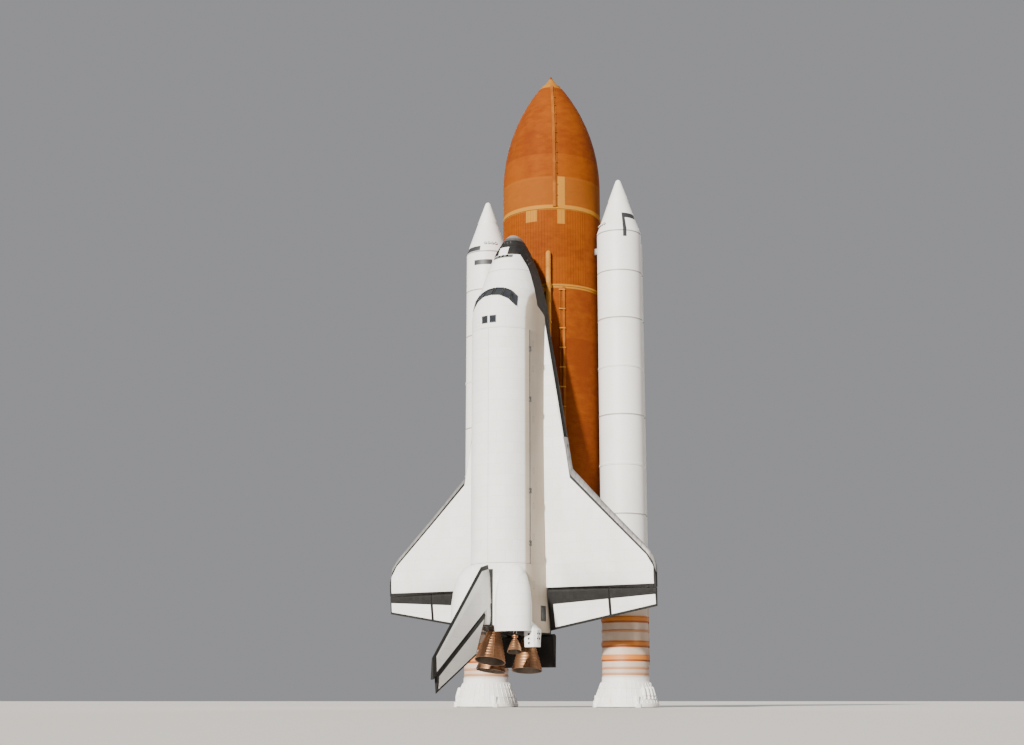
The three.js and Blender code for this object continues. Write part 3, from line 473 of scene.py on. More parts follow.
def belowLine(skin):
    return below(skin.height - line(skin.station, orbiterLook["lowLine"]), 0, 0.8)


def forwardDark(skin):
    look, side, height, station = orbiterLook, skin.side, skin.height, skin.station
    out = abs(side)
    front, rear = [line(out, [(row[0], row[column]) for row in look["screen"]]) for column in (1, 2)]
    screen = above(station - front, -1.2, 0.4) * above(rear - station, -1.2, 0.4)
    screen = screen * (out < look["screenEnd"]) * (height > look["screenFoot"])
    overhead = within(station, 550.5, 12) * within(out, 14.3, 11) * (height > 450)
    # The nose over the cap, the white hatch of the front thrusters between black tiles and the row behind it
    upper = height > 372
    nose = below(station, 289)
    frame = within(station, 303, 14.5) * (1.0 - within(side, -3, 16.5)) * upper
    row = within(station, 324, 5, 0.6) * upper * within(side, -4, 36, 0.6)
    seam = within(station, 373, 1.0) * (height > 370)
    doors = either(*[outline(side, station, place, (9, 7), 0.9) for place in ((-44, 560), (-20, 584))])
    hatch = (side < -95.0) * ring(station, height, (530, 372), 22.5, 1.2)
    faint = either(seam, doors * (height > 470)) * 0.45
    return either(belowLine(skin), screen, overhead, nose, frame, row * 0.9, faint, hatch)


def bodyDark(skin):
    look = orbiterLook
    vents = either(*[outline(skin.station, skin.height, (at, 398), (8, 3.5), 0.9) for at in look["vents"]])
    seam = within(skin.height, 325, 1.2) * within(skin.station, 1085, 205, 1)
    walls = abs(skin.side) > look["wallSide"]
    return either(belowLine(skin), walls * vents * 0.7, walls * seam * 0.4)


def wingDark(skin):
    look, span = orbiterLook, abs(skin.side)
    under = skin.height < (span - 102) * 0.0612 + 286.5
    lead = line(span, look["wingLead"]) + line(span, look["wingDepth"])
    return either(under, skin.facing[1] > 0.25, below(skin.station - lead, 0, 0.7),
                  above(skin.station, 1372), above(span, 461))


def elevonDark(skin):
    look, span = orbiterLook, abs(skin.side)
    rear = above(skin.station - line(span, look["elevonRear"]), -7)
    nose = below(skin.station - line(span, look["elevonFront"]), 0)
    ends = either(within(span, 312.5, 4.5), above(span, 463), below(span, 122))
    return either(skin.facing[1] > 0.25, rear, nose, ends)


def alongRudder(skin):
    # Distance up the rudder's hinge line and square behind it
    (station, height), (rise, lean) = orbiterLook["rudderFoot"], orbiterLook["rudderSlope"]
    aft, up = skin.station - station, skin.height - height
    return up * rise + aft * lean, aft * rise - up * lean


def finDark(skin):
    look = orbiterLook
    edge = below(skin.station - line(skin.height, look["finLead"]), look["finEdge"], 0.7)
    hinge = below(abs(alongRudder(skin)[1]), 12) * (1.0 - (skin.height < 530))
    return either(edge, hinge, above(skin.height, look["finTop"]))


def rudderDark(skin):
    up, aft = alongRudder(skin)
    rear = above(aft - line(up, [(139, 75.6), (386, 38)]), -6)
    foot = below(up - line(aft, [(0, 40), (75.6, 139)]), 5.5)
    top = above(up - line(aft, [(0, 360), (38, 386)]), -13.5)
    return either(rear, below(aft, 5.5), foot, top)


def podDark(skin):
    return either((skin.station > 1505.0) * (skin.facing[2] < -0.6), belowLine(skin))


def aftDark(skin):
    station, height = skin.station, skin.height
    walls = abs(skin.side) > orbiterLook["wallSide"]
    plate = walls * outline(station, height, (1452, 336), (22, 16), 1.5)
    vent = walls * outline(station, height, (1370, 398), (10, 4), 0.9)
    root = within(skin.side, 0, 17) * (height > 480) * above(station, 1325)
    return either(above(station, 1509.7, 0.3), plate, root, vent * 0.7, belowLine(skin))


def allDark(skin):
    return skin.station > -1e6


def plainDark(name, colour=(0.02, 0.02, 0.022), roughness=0.75, speckle=(0.09, 0.088, 0.085)):
    # Soot, thermal curtain, seals and the insides of openings
    dark = Surface(name, roughness)
    cloud, fine = dark.noise(3.5, 5, rough=0.65), dark.noise(55, 4)
    return dark.finished(mixed(soft(cloud, 0.4, 0.8) * 0.6, colour, speckle), fine * 0.2 + (roughness - 0.12),
                         (fine, 0.3, 0.002), (cloud, 0.2, 0.006))


def bayLiner(name):
    # Beige quilted lining, sewn in squares
    liner = Surface(name, 0.85)
    liner.setPlaces()
    quilt, gaps = tiles(liner.panel, 0.30, 0.30, 0.005, (0.70, 0.67, 0.58), (0.66, 0.63, 0.55),
                        (0.42, 0.40, 0.35), 0.0)
    cloud, fine = liner.noise(2.0, 5), liner.noise(34, 4)
    return liner.finished(mixed(cloud * 0.3, quilt, (0.50, 0.47, 0.40)), None,
                          (1.0 - gaps, 0.6, 0.006), (cloud, 0.3, 0.02), (fine, 0.3, 0.003))


def radiatorSilver(name):
    silver = Surface(name, 0.2, 0.85)
    tubes = abs(calc("SINE", silver.z * (math.pi / 0.05)))
    haze = silver.noise(1.4, 4)
    return silver.finished(mixed(haze * 0.5, (0.80, 0.81, 0.83), (0.60, 0.62, 0.66)), haze * 0.2 + 0.14,
                           (tubes, 0.3, 0.004))


paints = {
    "foam": tankFoam("sprayedFoam"),
    "line": lineFoam("lineFoam", (0.42, 0.17, 0.025), (0.54, 0.25, 0.05), (0.18, 0.055, 0.008)),
    "tray": lineFoam("trayFoam", (0.24, 0.065, 0.006), (0.34, 0.11, 0.016), (0.10, 0.022, 0.003)),
    "steel": steelFinish("strutSteel", (0.34, 0.33, 0.31), 0.42),
    "dullSteel": steelFinish("pinSteel", (0.22, 0.215, 0.2), 0.5),
    "booster": boosterPaint("boosterPaint"),
    "bell": bellMetal("bellMetal", (0.50, 0.27, 0.14)),
    "bellInside": bellMetal("bellInside", (0.16, 0.125, 0.10)),
    "boosterBell": bellMetal("boosterBellMetal", (0.20, 0.18, 0.165)),
    "soot": plainDark("sootedInside"),
    "curtain": plainDark("thermalCurtain", (0.045, 0.043, 0.042), 0.9, (0.12, 0.115, 0.11)),
    "frameDark": plainDark("windowFrames", (0.03, 0.03, 0.033), 0.5),
    "cabin": plainDark("cabinLining", (0.20, 0.21, 0.22), 0.8, (0.32, 0.33, 0.34)),
    "liner": bayLiner("bayLining"),
    "radiator": radiatorSilver("radiatorPanels"),
    "glass": darkGlass("windowGlass"),
    "carbon": carbonFinish("carbonEdge", (0.25, 0.245, 0.24), (0.12, 0.117, 0.115), (0.42, 0.40, 0.38)),
    "noseCarbon": carbonFinish("noseCarbon", (0.075, 0.073, 0.07), (0.035, 0.034, 0.033),
                               (0.12, 0.115, 0.11), (0.26, 0.25, 0.24)),
    "belly": orbiterSkin("bellyTiles", allDark),
}
darkParts = {
    "forward": forwardDark, "body": bodyDark, "aft": aftDark, "wing": wingDark, "elevon": elevonDark,
    "fin": finDark, "rudder": rudderDark, "pod": podDark,
}
for look, darkOf in darkParts.items():
    paints[look] = orbiterSkin(look + "Skin", darkOf)
print("materials made")


# Modelling: every length is in real inches, and places go into the meshes
def calm():
    if bpy.context.object and bpy.context.object.mode != "OBJECT":
        bpy.ops.object.mode_set(mode="OBJECT")
    bpy.ops.object.select_all(action="DESELECT")


def only(piece):
    calm()
    piece.select_set(True)
    bpy.context.view_layer.objects.active = piece


def editing(piece, chosen="SELECT"):
    only(piece)
    bpy.ops.object.mode_set(mode="EDIT")
    bpy.ops.mesh.select_mode(type="FACE")
    bpy.ops.mesh.select_all(action=chosen)


def closeMesh(weld=0.0):
    # Welds doubled points, turns all faces outwards and ends the editing
    bpy.ops.mesh.select_all(action="SELECT")
    if weld:
        bpy.ops.mesh.remove_doubles(threshold=weld)
    bpy.ops.mesh.normals_make_consistent(inside=False)
    bpy.ops.object.mode_set(mode="OBJECT")


def settled(piece, angle=32):
    only(piece)
    bpy.ops.object.transform_apply(location=True, rotation=True, scale=True)
    bpy.ops.object.shade_smooth_by_angle(angle=math.radians(angle))
    calm()
    return piece


def modify(piece, kind, **settings):
    only(piece)
    modifier = piece.modifiers.new(kind.lower(), kind)
    for key, value in settings.items():
        setattr(modifier, key, value)
    bpy.ops.object.modifier_apply(modifier=modifier.name)


def dress(piece, name, look, slotName, *nodes, body="stack"):
    piece.name = name
    piece.data.name = name
    piece.data.materials.clear()
    for finish in ([look] if isinstance(look, str) else look):
        piece.data.materials.append(paints[finish])
    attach(piece, body)
    if nodes:
        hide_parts(*nodes)
    return piece


def turnedPiece(profile, sides, origin=(0, 0, 0), along=(0, 0, 1), angle=32):
    # A body turned round a line: the profile gives radius and distance, and a ring's ends where it starts
    calm()
    hollow = profile[0] == profile[-1]
    (before, place), *rest = [(max(radius, 0.002), distance) for radius, distance in profile]
    bpy.ops.mesh.primitive_circle_add(vertices=sides, radius=before * inch,
                                      fill_type="NOTHING" if hollow else "NGON")
    piece = bpy.context.object
    bpy.ops.object.mode_set(mode="EDIT")
    bpy.ops.mesh.select_mode(type="EDGE" if hollow else "FACE")
    bpy.ops.mesh.select_all(action="SELECT")
    bpy.ops.transform.translate(value=(0, 0, place * inch))
    for radius, distance in rest:
        step = (0, 0, (distance - place) * inch)
        bpy.ops.mesh.extrude_region_move(TRANSFORM_OT_translate={"value": step})
        grow = radius / before
        bpy.ops.transform.resize(value=(grow, grow, 1), center_override=(0, 0, distance * inch))
        before, place = radius, distance
    closeMesh(0.0002)
    turn = Vector((0, 0, 1)).rotation_difference(Vector(along).normalized())
    piece.matrix_world = Matrix.Translation(Vector(origin) * inch) @ turn.to_matrix().to_4x4()
    return settled(piece, angle)


def collar(inner, outer, half, sides, origin, along=(0, 0, 1)):
    corners = [(inner, -half), (outer, -half), (outer, half), (inner, half), (inner, -half)]
    return turnedPiece(corners, sides, origin, along)


def disc(radius, low, high, sides, origin, along):
    return turnedPiece([(0, low), (radius, low), (radius, high), (0, high)], sides, origin, along)


def drum(radius, half, narrow, cut, sides, origin, along=(0, 0, 1)):
    # A pin with both edges cut off: narrow is the radius at its ends, cut the length of the edge
    rows = [(0, -half), (narrow, -half), (radius, cut - half)]
    return turnedPiece(rows + [(out, -distance) for out, distance in reversed(rows)], sides, origin, along)


def barPiece(start, end, radius):
    # A rod between two points, with a ball joint near each end: share of its length and of its radius
    joints = ((0.0, 1.0), (0.02, 1.35), (0.09, 1.5), (0.12, 1.0), (0.84, 1.0), (0.87, 1.35), (0.97, 1.45),
              (1.0, 1.2))
    along = Vector(end) - Vector(start)
    profile = [(radius * size, along.length * share) for share, size in joints]
    return turnedPiece([(0, 0)] + profile + [(0, along.length)], 24, start, along)


def blockPiece(first, last, edge=0.5, segments=2):
    # A bevelled block between two opposite corners
    low, high = Vector(map(min, first, last)) * inch, Vector(map(max, first, last)) * inch
    calm()
    bpy.ops.mesh.primitive_cube_add(size=1, location=(low + high) / 2)
    piece = bpy.context.object
    piece.scale = high - low
    bpy.ops.object.transform_apply(location=True, rotation=True, scale=True)
    modify(piece, "BEVEL", width=edge * inch, segments=segments, limit_method="ANGLE")
    return settled(piece)


def tint(piece, index, chosen):
    # The faces that chosen(middle, normal) picks get the piece's finish of that number
    for face in piece.data.polygons:
        if chosen(face.center / inch, face.normal):
            face.material_index = index


def pipePiece(points, radius, sides=3):
    # A pipe that rounds off its points
    calm()
    path = bpy.data.curves.new("pipe", "CURVE")
    path.dimensions = "3D"
    path.bevel_depth = radius * inch
    path.bevel_resolution = sides
    path.resolution_u = 6
    path.use_fill_caps = True
    run = path.splines.new("NURBS")
    run.points.add(len(points) - 1)
    for spot, point in zip(run.points, points):
        spot.co = (*(Vector(point) * inch), 1)
    run.use_endpoint_u = True
    run.order_u = 3
    piece = bpy.data.objects.new("pipe", path)
    scene.collection.objects.link(piece)
    only(piece)
    bpy.ops.object.convert(target="MESH")
    return settled(bpy.context.view_layer.objects.active, 50)


def copyAt(piece, matrix):
    twin = bpy.data.objects.new(piece.name, piece.data.copy())
    scene.collection.objects.link(twin)
    twin.matrix_world = matrix
    return settled(twin)


def mirrored(piece):
    twin = copyAt(piece, Matrix.Scale(-1, 4, (1, 0, 0)))
    bpy.data.objects.remove(piece, do_unlink=True)
    editing(twin)
    closeMesh()
    return twin


def ringCopies(piece, angles, centre=(0, 0, 0)):
    # Copies of a piece made in front of the Z axis, turned round a vertical line through centre
    shift = Matrix.Translation(Vector(centre) * inch)
    spots = [copyAt(piece, shift @ Matrix.Rotation(math.radians(turn), 4, "Z")) for turn in angles]
    bpy.data.objects.remove(piece, do_unlink=True)
    return spots


def platePiece(corners):
    calm()
    bpy.ops.mesh.primitive_plane_add(size=1)
    piece = bpy.context.object
    for vertex, corner in zip(piece.data.vertices, corners):
        vertex.co = Vector(corner) * inch
    editing(piece)
    return piece


def panePiece(corners, thick, inset=0.0):
    # A flat plate round four corners, thickened both ways; with an inset only its rim stays
    first, second, third, fourth = corners
    piece = platePiece((first, second, fourth, third))
    if inset:
        bpy.ops.mesh.inset(thickness=inset * inch, use_even_offset=True)
        bpy.ops.mesh.delete(type="FACE")
    bpy.ops.object.mode_set(mode="OBJECT")
    modify(piece, "SOLIDIFY", thickness=thick * inch, offset=0.0)
    editing(piece)
    closeMesh()
    return settled(piece)


def joined(pieces):
    calm()
    for piece in pieces:
        piece.select_set(True)
    bpy.context.view_layer.objects.active = pieces[0]
    if len(pieces) > 1:
        bpy.ops.object.join()
    result = bpy.context.view_layer.objects.active
    calm()
    return result


def nodeCopy(node, bevel=0.0, cutter=None):
    source = frame["nodes"][node]
    piece = bpy.data.objects.new(node + "_skin", source.data.copy())
    scene.collection.objects.link(piece)
    editing(piece)
    bpy.ops.mesh.remove_doubles(threshold=0.0003)
    bpy.ops.mesh.dissolve_limited(angle_limit=math.radians(0.6))
    calm()
    if cutter:
        modify(piece, "BOOLEAN", operation="DIFFERENCE", object=cutter, solver="EXACT")
        bpy.data.objects.remove(cutter, do_unlink=True)
        return settled(piece)
    if bevel:
        modify(piece, "BEVEL", width=bevel * inch, segments=2, limit_method="ANGLE",
               angle_limit=math.radians(40))
    settled(piece)
    modify(piece, "WEIGHTED_NORMAL", keep_sharp=True)
    return piece


# External tank
tankLook = {
    "radius": 165.5, "flange": 167.4, "sides": 108, "arc": 612, "arcEnd": 744, "centre": (0, tankAxis, 0),
    # Stringers: height, faces round the tank, middle station, half length, half angle of a bare panel
    "stringers": (1.0, 216, 988, 60, 21),
    "spike": [(0, 322.7), (2.2, 323.2), (3, 326), (4.4, 331), (7, 332.5), (8.5, 338), (20, 352), (27, 360),
              (32, 363), (33, 371)],
    "oxygen": (374, 395, 420, 450, 480, 520, 560, 600, 640, 680, 712, 744, 800, 852.5),
    "domeStart": 2058, "domeDepth": 115,
}


def tankRadius(station):
    look = tankLook
    ahead = max(0.0, look["arcEnd"] - station)
    return look["radius"] - look["arc"] + math.sqrt(look["arc"] ** 2 - ahead ** 2)


def tankPart(name, rows, node):
    piece = turnedPiece(fromStations(rows, tankZero), tankLook["sides"], tankLook["centre"])
    dress(piece, name, "foam", "tank_foam", node)


def buildTank():
    look, radius, flange = tankLook, tankLook["radius"], tankLook["flange"]
    shell = [(tankRadius(station), station) for station in look["oxygen"]]
    tankPart("oxygen_tank_shell", look["spike"] + shell + [(0, 852.5)], "liquid_oxygen_tank")

    high, faces, middle, half, bare = look["stringers"]
    rows = [(0, 852.9), (flange, 852.9), (flange, 858), (radius - 0.6, 859.5), (radius - 0.6, 1116.5),
            (flange, 1118), (flange, 1123), (0, 1123)]
    piece = turnedPiece(fromStations(rows, tankZero), faces, look["centre"], angle=20)
    # Stringers stand on every other face, except on the two thrust panels that face the boosters
    editing(piece, "DESELECT")
    bpy.ops.object.mode_set(mode="OBJECT")
    for face in piece.data.polygons:
        x, y, z = face.center / inch
        turn = math.degrees(math.atan2(x, tankAxis - y)) % 360
        face.select = (abs(face.normal.z) < 0.1 and abs(z - (tankZero - middle)) < half
                       and int(turn / (360 / faces)) % 2 == 0 and min(abs(turn - 90), abs(turn - 270)) > bare)
    bpy.ops.object.mode_set(mode="EDIT")
    bpy.ops.mesh.extrude_region_shrink_fatten(
        TRANSFORM_OT_shrink_fatten={"value": high * inch, "use_even_offset": False})
    bpy.ops.object.mode_set(mode="OBJECT")
    dress(settled(piece, 20), "intertank_shell", "foam", "tank_foam", "intertank")

    barrel = [(0, 1123.2), (radius, 1123.2), (radius, 1290), (radius, 1460), (radius, 1640), (radius, 1820),
              (radius + 0.7, 1872), (radius + 0.7, 1879), (radius, 1886), (radius, 2030), (flange, 2046),
              (flange, 2052), (radius, 2058)]
    dome = [(radius * math.cos(turn), look["domeStart"] + look["domeDepth"] * math.sin(turn))
            for turn in map(math.radians, range(9, 90, 9))]
    tankPart("hydrogen_tank_shell", barrel + dome + [(10, 2172.6), (0, 2173)], "liquid_hydrogen_tank")


lineLook = {
    # Tray: node, angle round the tank, angles from there to its pipe and to its brackets' middle, then
    # the brackets' half width, half height, stations and finish
    "trays": [("oxygen_tank_cable_tray", 30, 2.9, 1.2, 7.2, 0.8, range(392, 850, 38), "tray"),
              ("hydrogen_tank_cable_tray", 40, -4.2, -2.0, 10.5, 1.8, range(1136, 2046, 65), "line")],
    "turn": 23, "radius": 8.5, "out": 176.6, "top": 1012, "end": 2085, "side": 70, "belly": 72.0,
    "seat": 0.08, "clamps": (1250, 1500, 1750, 2000), "bellows": (1126, 1905, 2040),
    "sleeves": (1060, 1180, 1330, 1420, 1580, 1670, 1830),
}


def bracket(angle, station, half, reach, tall):
    # A small bridge over a tray, made in front of the tank and turned into place
    out, z = tankRadius(station), tankZero - station
    post = blockPiece((-half, -(out + reach), z - tall), (half, 4 - out, z + tall), 0.4)
    return ringCopies(post, (angle,), tankLook["centre"])[0]


def buildLines():
    look = lineLook
    for node, angle, pipeTurn, middleTurn, half, tall, stations, finish in look["trays"]:
        dress(nodeCopy(node, 0.8), node + "_skin", "tray", "line_foam", node)
        word = node.split("_")[0]
        # Turned further where the tank is thinner
        places = [(165 / tankRadius(s), s) for s in stations]
        points = [onTank(angle + pipeTurn * grow, tankRadius(s) + 1.6, s) for grow, s in places]
        dress(pipePiece(points, 1.3), word + "_pressure_pipe", "tray", "attach_steel")
        spots = [bracket(angle + middleTurn * grow, s, half, 5.6, tall) for grow, s in places]
        dress(joined(spots), word + "_tray_brackets", finish, "line_foam")

    turn, out, top, side, rise = [look[key] for key in ("turn", "out", "top", "side", "belly")]
    end, up = tankZero - look["end"], (0, 1, 0)
    along = [(150, top), (166, top), (out, top + 2), (out, top + 15), (out, 1400), (out, 1800), (out, 2052)]
    points = [onTank(turn, reach, station) for reach, station in along]
    points += [(side, 127.5, tankZero - 2072), (side, 118, tankZero - 2083), (side, 104, end),
               (side, rise + look["seat"], end)]
    feed = [pipePiece(points, look["radius"], sides=5)]
    for station in look["clamps"]:
        feed += [collar(8, 10.3, 2.2, 32, onTank(turn, out, station)), bracket(turn, station, 3, 11, 3.5)]
    for station in look["bellows"]:
        folds = [row for fold in range(5) for row in ((10.4, -7 + fold * 3.2), (9.0, -5.4 + fold * 3.2))]
        rows = [(8, -9), (9.6, -9), *folds, (9.6, 9), (8, 9), (8, -9)]
        feed.append(turnedPiece(rows, 32, onTank(turn, out, station), angle=60))
    feed += [collar(8, 9.5, 0.9, 32, onTank(turn, out, station)) for station in look["sleeves"]]
    foot = [(8, 0.05), (12, 0.05), (12, 2.4), (9.6, 3), (9.6, 9), (8, 9), (8, 0.05)]
    feed.append(turnedPiece(foot, 32, (side, rise, end), up))
    dress(joined(feed), "oxygen_feedline_pipe", "line", "line_foam", "oxygen_feedline")

    rows = [(0, 0.05), (12, 0.05), (12, 2.4), (9, 3), (9, 12), (10.5, 12.5), (10.5, 15), (9, 15.5), (9, 85),
            (0, 85)]
    low, high = (-side - 13, rise + look["seat"], end - 16), (-side + 13, rise + 12, end + 16)
    plug = [turnedPiece(rows, 32, (-side, rise, end), up), blockPiece(low, high, 1.2)]
    for across in (-9, 9):
        for higher in (-12, 12):
            plug.append(turnedPiece([(0, 11), (1.6, 11), (1.6, 13.4), (1.1, 14), (0, 14)], 12,
                                    (-side + across, rise, end + higher), up))
    dress(joined(plug), "hydrogen_umbilical_plate", "line", "line_foam", "hydrogen_umbilical")


strutLook = {
    "bipod": 1137, "bipodRadius": 3.7, "bipodTurn": 16.1, "bipodFoot": (46, 142), "apex": 78,
    "ramp": [(0, -8), (11, -8), (11, -1), (9.5, 2.5), (7.5, 4.5), (5, 6), (0, 6.6)],
    "frame": 2050, "beam": 101, "foot": 72.05, "collars": (-60, -20, 20, 60),
    # Aft struts: side, distance back and rise of the end at the tank, then the radius
    "aftStruts": [(129, 196, 0, 5.6), (133, 205, 90, 3.8)],
}


def buildStruts():
    look = strutLook
    z, foot, beamY = tankZero - look["bipod"], look["foot"], look["beam"]
    apex = (0, look["apex"], z)
    legs, ramps = [], []
    for side in (-1, 1):
        across, behind = look["bipodFoot"]
        legs.append(barPiece(apex, (side * across, behind, z), look["bipodRadius"]))
        low, middle, high = [onTank(side * look["bipodTurn"], out, look["bipod"])
                             for out in (9, tankLook["radius"], 10)]
        ramps.append(turnedPiece(look["ramp"], 32, middle, high - low, angle=50))
    legs.append(blockPiece((-8, foot, z - 8), (8, 82, z + 8), 1.4, 3))
    legs.append(drum(4.6, 10, 4, 0.6, 24, apex, (1, 0, 0)))
    dress(joined(legs), "bipod_struts", "steel", "attach_steel", "forward_bipod")
    dress(joined(ramps), "bipod_ramps", "line", "line_foam")

    z = tankZero - look["frame"]
    beam, bars = [blockPiece((-104, 94, z - 7), (104, 108, z + 7), 2.0, 3)], []
    for side in (-1, 1):
        beam.append(blockPiece((side * 89.5, foot, z - 6), (side * 101.5, beamY, z + 6), 1.2))
        start = (side * 96.5, beamY, z)
        for across, behind, rise, thick in look["aftStruts"]:
            bars.append(barPiece(start, (side * across, behind, z + rise), thick))
        bars.append(drum(7.5, 9, 6.5, 3, 24, start))
    beam += [collar(7, 8.4, 2, 24, (across, beamY, z), (1, 0, 0)) for across in look["collars"]]
    dress(joined(beam), "aft_cross_beam", "line", "attach_steel", "aft_attach_frame")
    dress(joined(bars), "aft_attach_struts", "steel", "attach_steel")


# Boosters
boosterShape = {
    "sides": 72, "case": 72.7, "strutEnds": [(-52, -52), (-44, 46), (52, 52)], "struts": 1511,
    "fitting": 442.7, "tunnelAngle": 130, "pivot": 1850, "ribs": 36, "feet": (45, 135, 225, 315),
    # Separation motors: distance out and station, then their angles round the booster
    "frontMotor": (62, 368), "frontMotors": (22, 32.7, 43.3, 54), "motorCut": 64.5,
    "rearMotor": (91.2, 1884), "rearMotors": (62, 72, 82, 92),
    # The tunnel's ends and its straps
    "tunnel": (420, 1800), "straps": range(470, 1790, 66),
    "nose": [(0, 200.2), (3, 200.6), (6, 202.5), (8.6, 206), (10.5, 211), (20, 237.5), (27.6, 258.5),
             (33.4, 275), (33.9, 276.5), (34.2, 279), (34.2, 281.5), (38, 291), (46, 315), (60, 355),
             (70.5, 385), (72.9, 390), (72.9, 394.8), (0, 394.8)],
    # Rings on the case: station, half length, height
    "rings": [(532, 2.4, 0.5), (691, 3.2, 0.9), (851.5, 4, 1.8), (1011, 3.2, 0.9), (1171.5, 4, 1.8),
              (1331, 3.2, 0.9), (1491.5, 4, 1.8), (1511, 7, 5), (1577, 3.2, 0.9), (1661, 6.5, 2.6),
              (1697, 3, 1.6), (1737, 6.5, 2.6), (1780, 6.5, 2.4), (1811, 3, 1.2), (1829, 3, 1.2)],
    "skirt": [(70.6, 1837.1), (73.6, 1837.1), (74.4, 1837.7), (74.4, 1850), (76.5, 1853), (83, 1869.4),
              (84.6, 1870.4), (85.6, 1873), (84.8, 1874), (93.4, 1895.6), (95.0, 1896.6), (96.0, 1899.4),
              (95.2, 1900.4), (102.6, 1919), (103.9, 1920.6), (103.9, 1928.4), (101.7, 1928.5),
              (101.7, 1921), (100.4, 1919), (74, 1853), (70.6, 1850.5), (70.6, 1837.1)],
    "curtain": [(100.2, 1918), (78, 1903), (77.2, 1904.4), (99.6, 1919.6), (100.2, 1918)],
}


def buildBoosterBody(word, side):
    look, name = boosterShape, word + "_booster_"
    middle = side * boosterSide
    centre = Vector((middle, tankAxis, 0))
    nose = turnedPiece(fromStations(look["nose"], boosterZero), look["sides"], centre)
    dress(nose, name + "nose", "booster", "booster_paint", name + "nose_cone")
    # The four separation motors on the frustum, on the side by the orbiter
    out, station = look["frontMotor"]
    cup = turnedPiece([(0, -5), (5, -5), (5, 5), (4.3, 6), (3.7, 6), (3.4, 1), (0, 1)], 20,
                      (0, -out, boosterZero - station), (0, -1, 0.55))
    cups = ringCopies(cup, sorted(-side * turn for turn in look["frontMotors"]), centre)
    motors = dress(joined(cups), name + "front_separation_motors", ["booster", "soot"], "booster_paint")
    tint(motors, 1, lambda spot, normal: (spot.xy - centre.xy).length < look["motorCut"])

    case = look["case"]
    rows = [(0, 395.2), (case, 395.2), (case, 398)]
    for station, half, high in look["rings"]:
        edge = min(0.8, high)
        rows += [(case, station - half), (case + high, station - half + edge),
                 (case + high, station + half - edge), (case, station + half)]
    rows += [(case, 1836.9), (0, 1836.9)]
    piece = turnedPiece(fromStations(rows, boosterZero), look["sides"], centre)
    dress(piece, name + "case", "booster", "booster_paint", name + "motor_case")

    # Systems tunnel down the outer side, with a strap over each step
    top, end = [boosterZero - station for station in look["tunnel"]]
    parts = [blockPiece((-5, -78.9, end), (5, -69, top), 1.4, 3)]
    for station in look["straps"]:
        z = boosterZero - station
        parts.append(blockPiece((-6.3, -79, z - 1.3), (6.3, -70, z + 1.3), 0.5))
    tunnel = ringCopies(joined(parts), (side * look["tunnelAngle"],), centre)[0]
    dress(tunnel, name + "systems_tunnel", "booster", "booster_paint")

    # Forward fitting, three struts to the tank and the two lugs that hold the nozzle's pins
    z = boosterZero - look["fitting"]
    steel = [blockPiece((side * 164.9, tankAxis - 12, z - 12), (side * 183.5, tankAxis + 12, z + 12), 2.2, 3),
             drum(10.5, 9, 9.5, 1, 32, (side * 174, tankAxis, z), (0, 1, 0))]
    z = boosterZero - look["struts"]
    for fromY, toY in look["strutEnds"]:
        steel.append(barPiece((side * 200.5, tankAxis + fromY, z), (side * 145.5, tankAxis + toY, z), 3.9))
    for way in (-1, 1):
        steel.append(blockPiece((middle + way * 8.05, tankAxis - 3.2, boosterZero - 1853.2),
                                (middle + way * 11.2, tankAxis + 3.2, boosterZero - 1835), 0.4))
    dress(joined(steel), name + "attach_struts", "steel", "attach_steel")


def buildBoosterSkirt(word, side):
    look, name = boosterShape, word + "_booster_"
    centre = (side * boosterSide, tankAxis, 0)
    parts = [turnedPiece(fromStations(look["skirt"], boosterZero), look["sides"], centre)]
    # Stiffening ribs down the cone, and a foot with its post at each hold-down point
    rib = blockPiece((-0.7, -1.0, -33), (0.7, 1.0, 33), 0.3, 1)
    rib.rotation_euler = (math.radians(-21.6), 0, 0)
    rib.location = Vector((0, -89.9, boosterZero - 1886)) * inch
    settled(rib)
    parts += ringCopies(rib, [360 / look["ribs"] * (step + 0.5) for step in range(look["ribs"])], centre)
    foot = blockPiece((-7.9, -107.8, 0.02), (7.9, -92, 12), 0.9, 3)
    post = blockPiece((-5.4, -103.4, 9), (5.4, -92, 36), 2.0, 3)
    bolt = turnedPiece([(0, 10), (3, 10), (3, 15), (2, 16), (0, 16)], 12, (0, -105.4, 0))
    parts += ringCopies(joined([foot, post, bolt]), look["feet"], centre)
    # Four separation motors on the outer side
    rows = [(0, -22), (3.2, -22), (4.6, -17), (3.4, -14), (6, -11), (6, 12), (4.4, 15.5), (0, 17)]
    out, station = look["rearMotor"]
    motor = turnedPiece(rows, 20, (0, -out, boosterZero - station), (0, 0.3, 1))
    parts += ringCopies(motor, [side * turn for turn in look["rearMotors"]], centre)
    dress(joined(parts), name + "skirt", "booster", "booster_paint", name + "aft_skirt")
    curtain = turnedPiece(fromStations(look["curtain"], boosterZero), look["sides"], centre)
    dress(curtain, name + "heat_curtain", "curtain", "booster_paint")


for step in (buildTank, buildLines, buildStruts):
    step()
print("external tank built")
for word, side in bothSides:
    buildBoosterBody(word, side)
    buildBoosterSkirt(word, side)
print("boosters built")

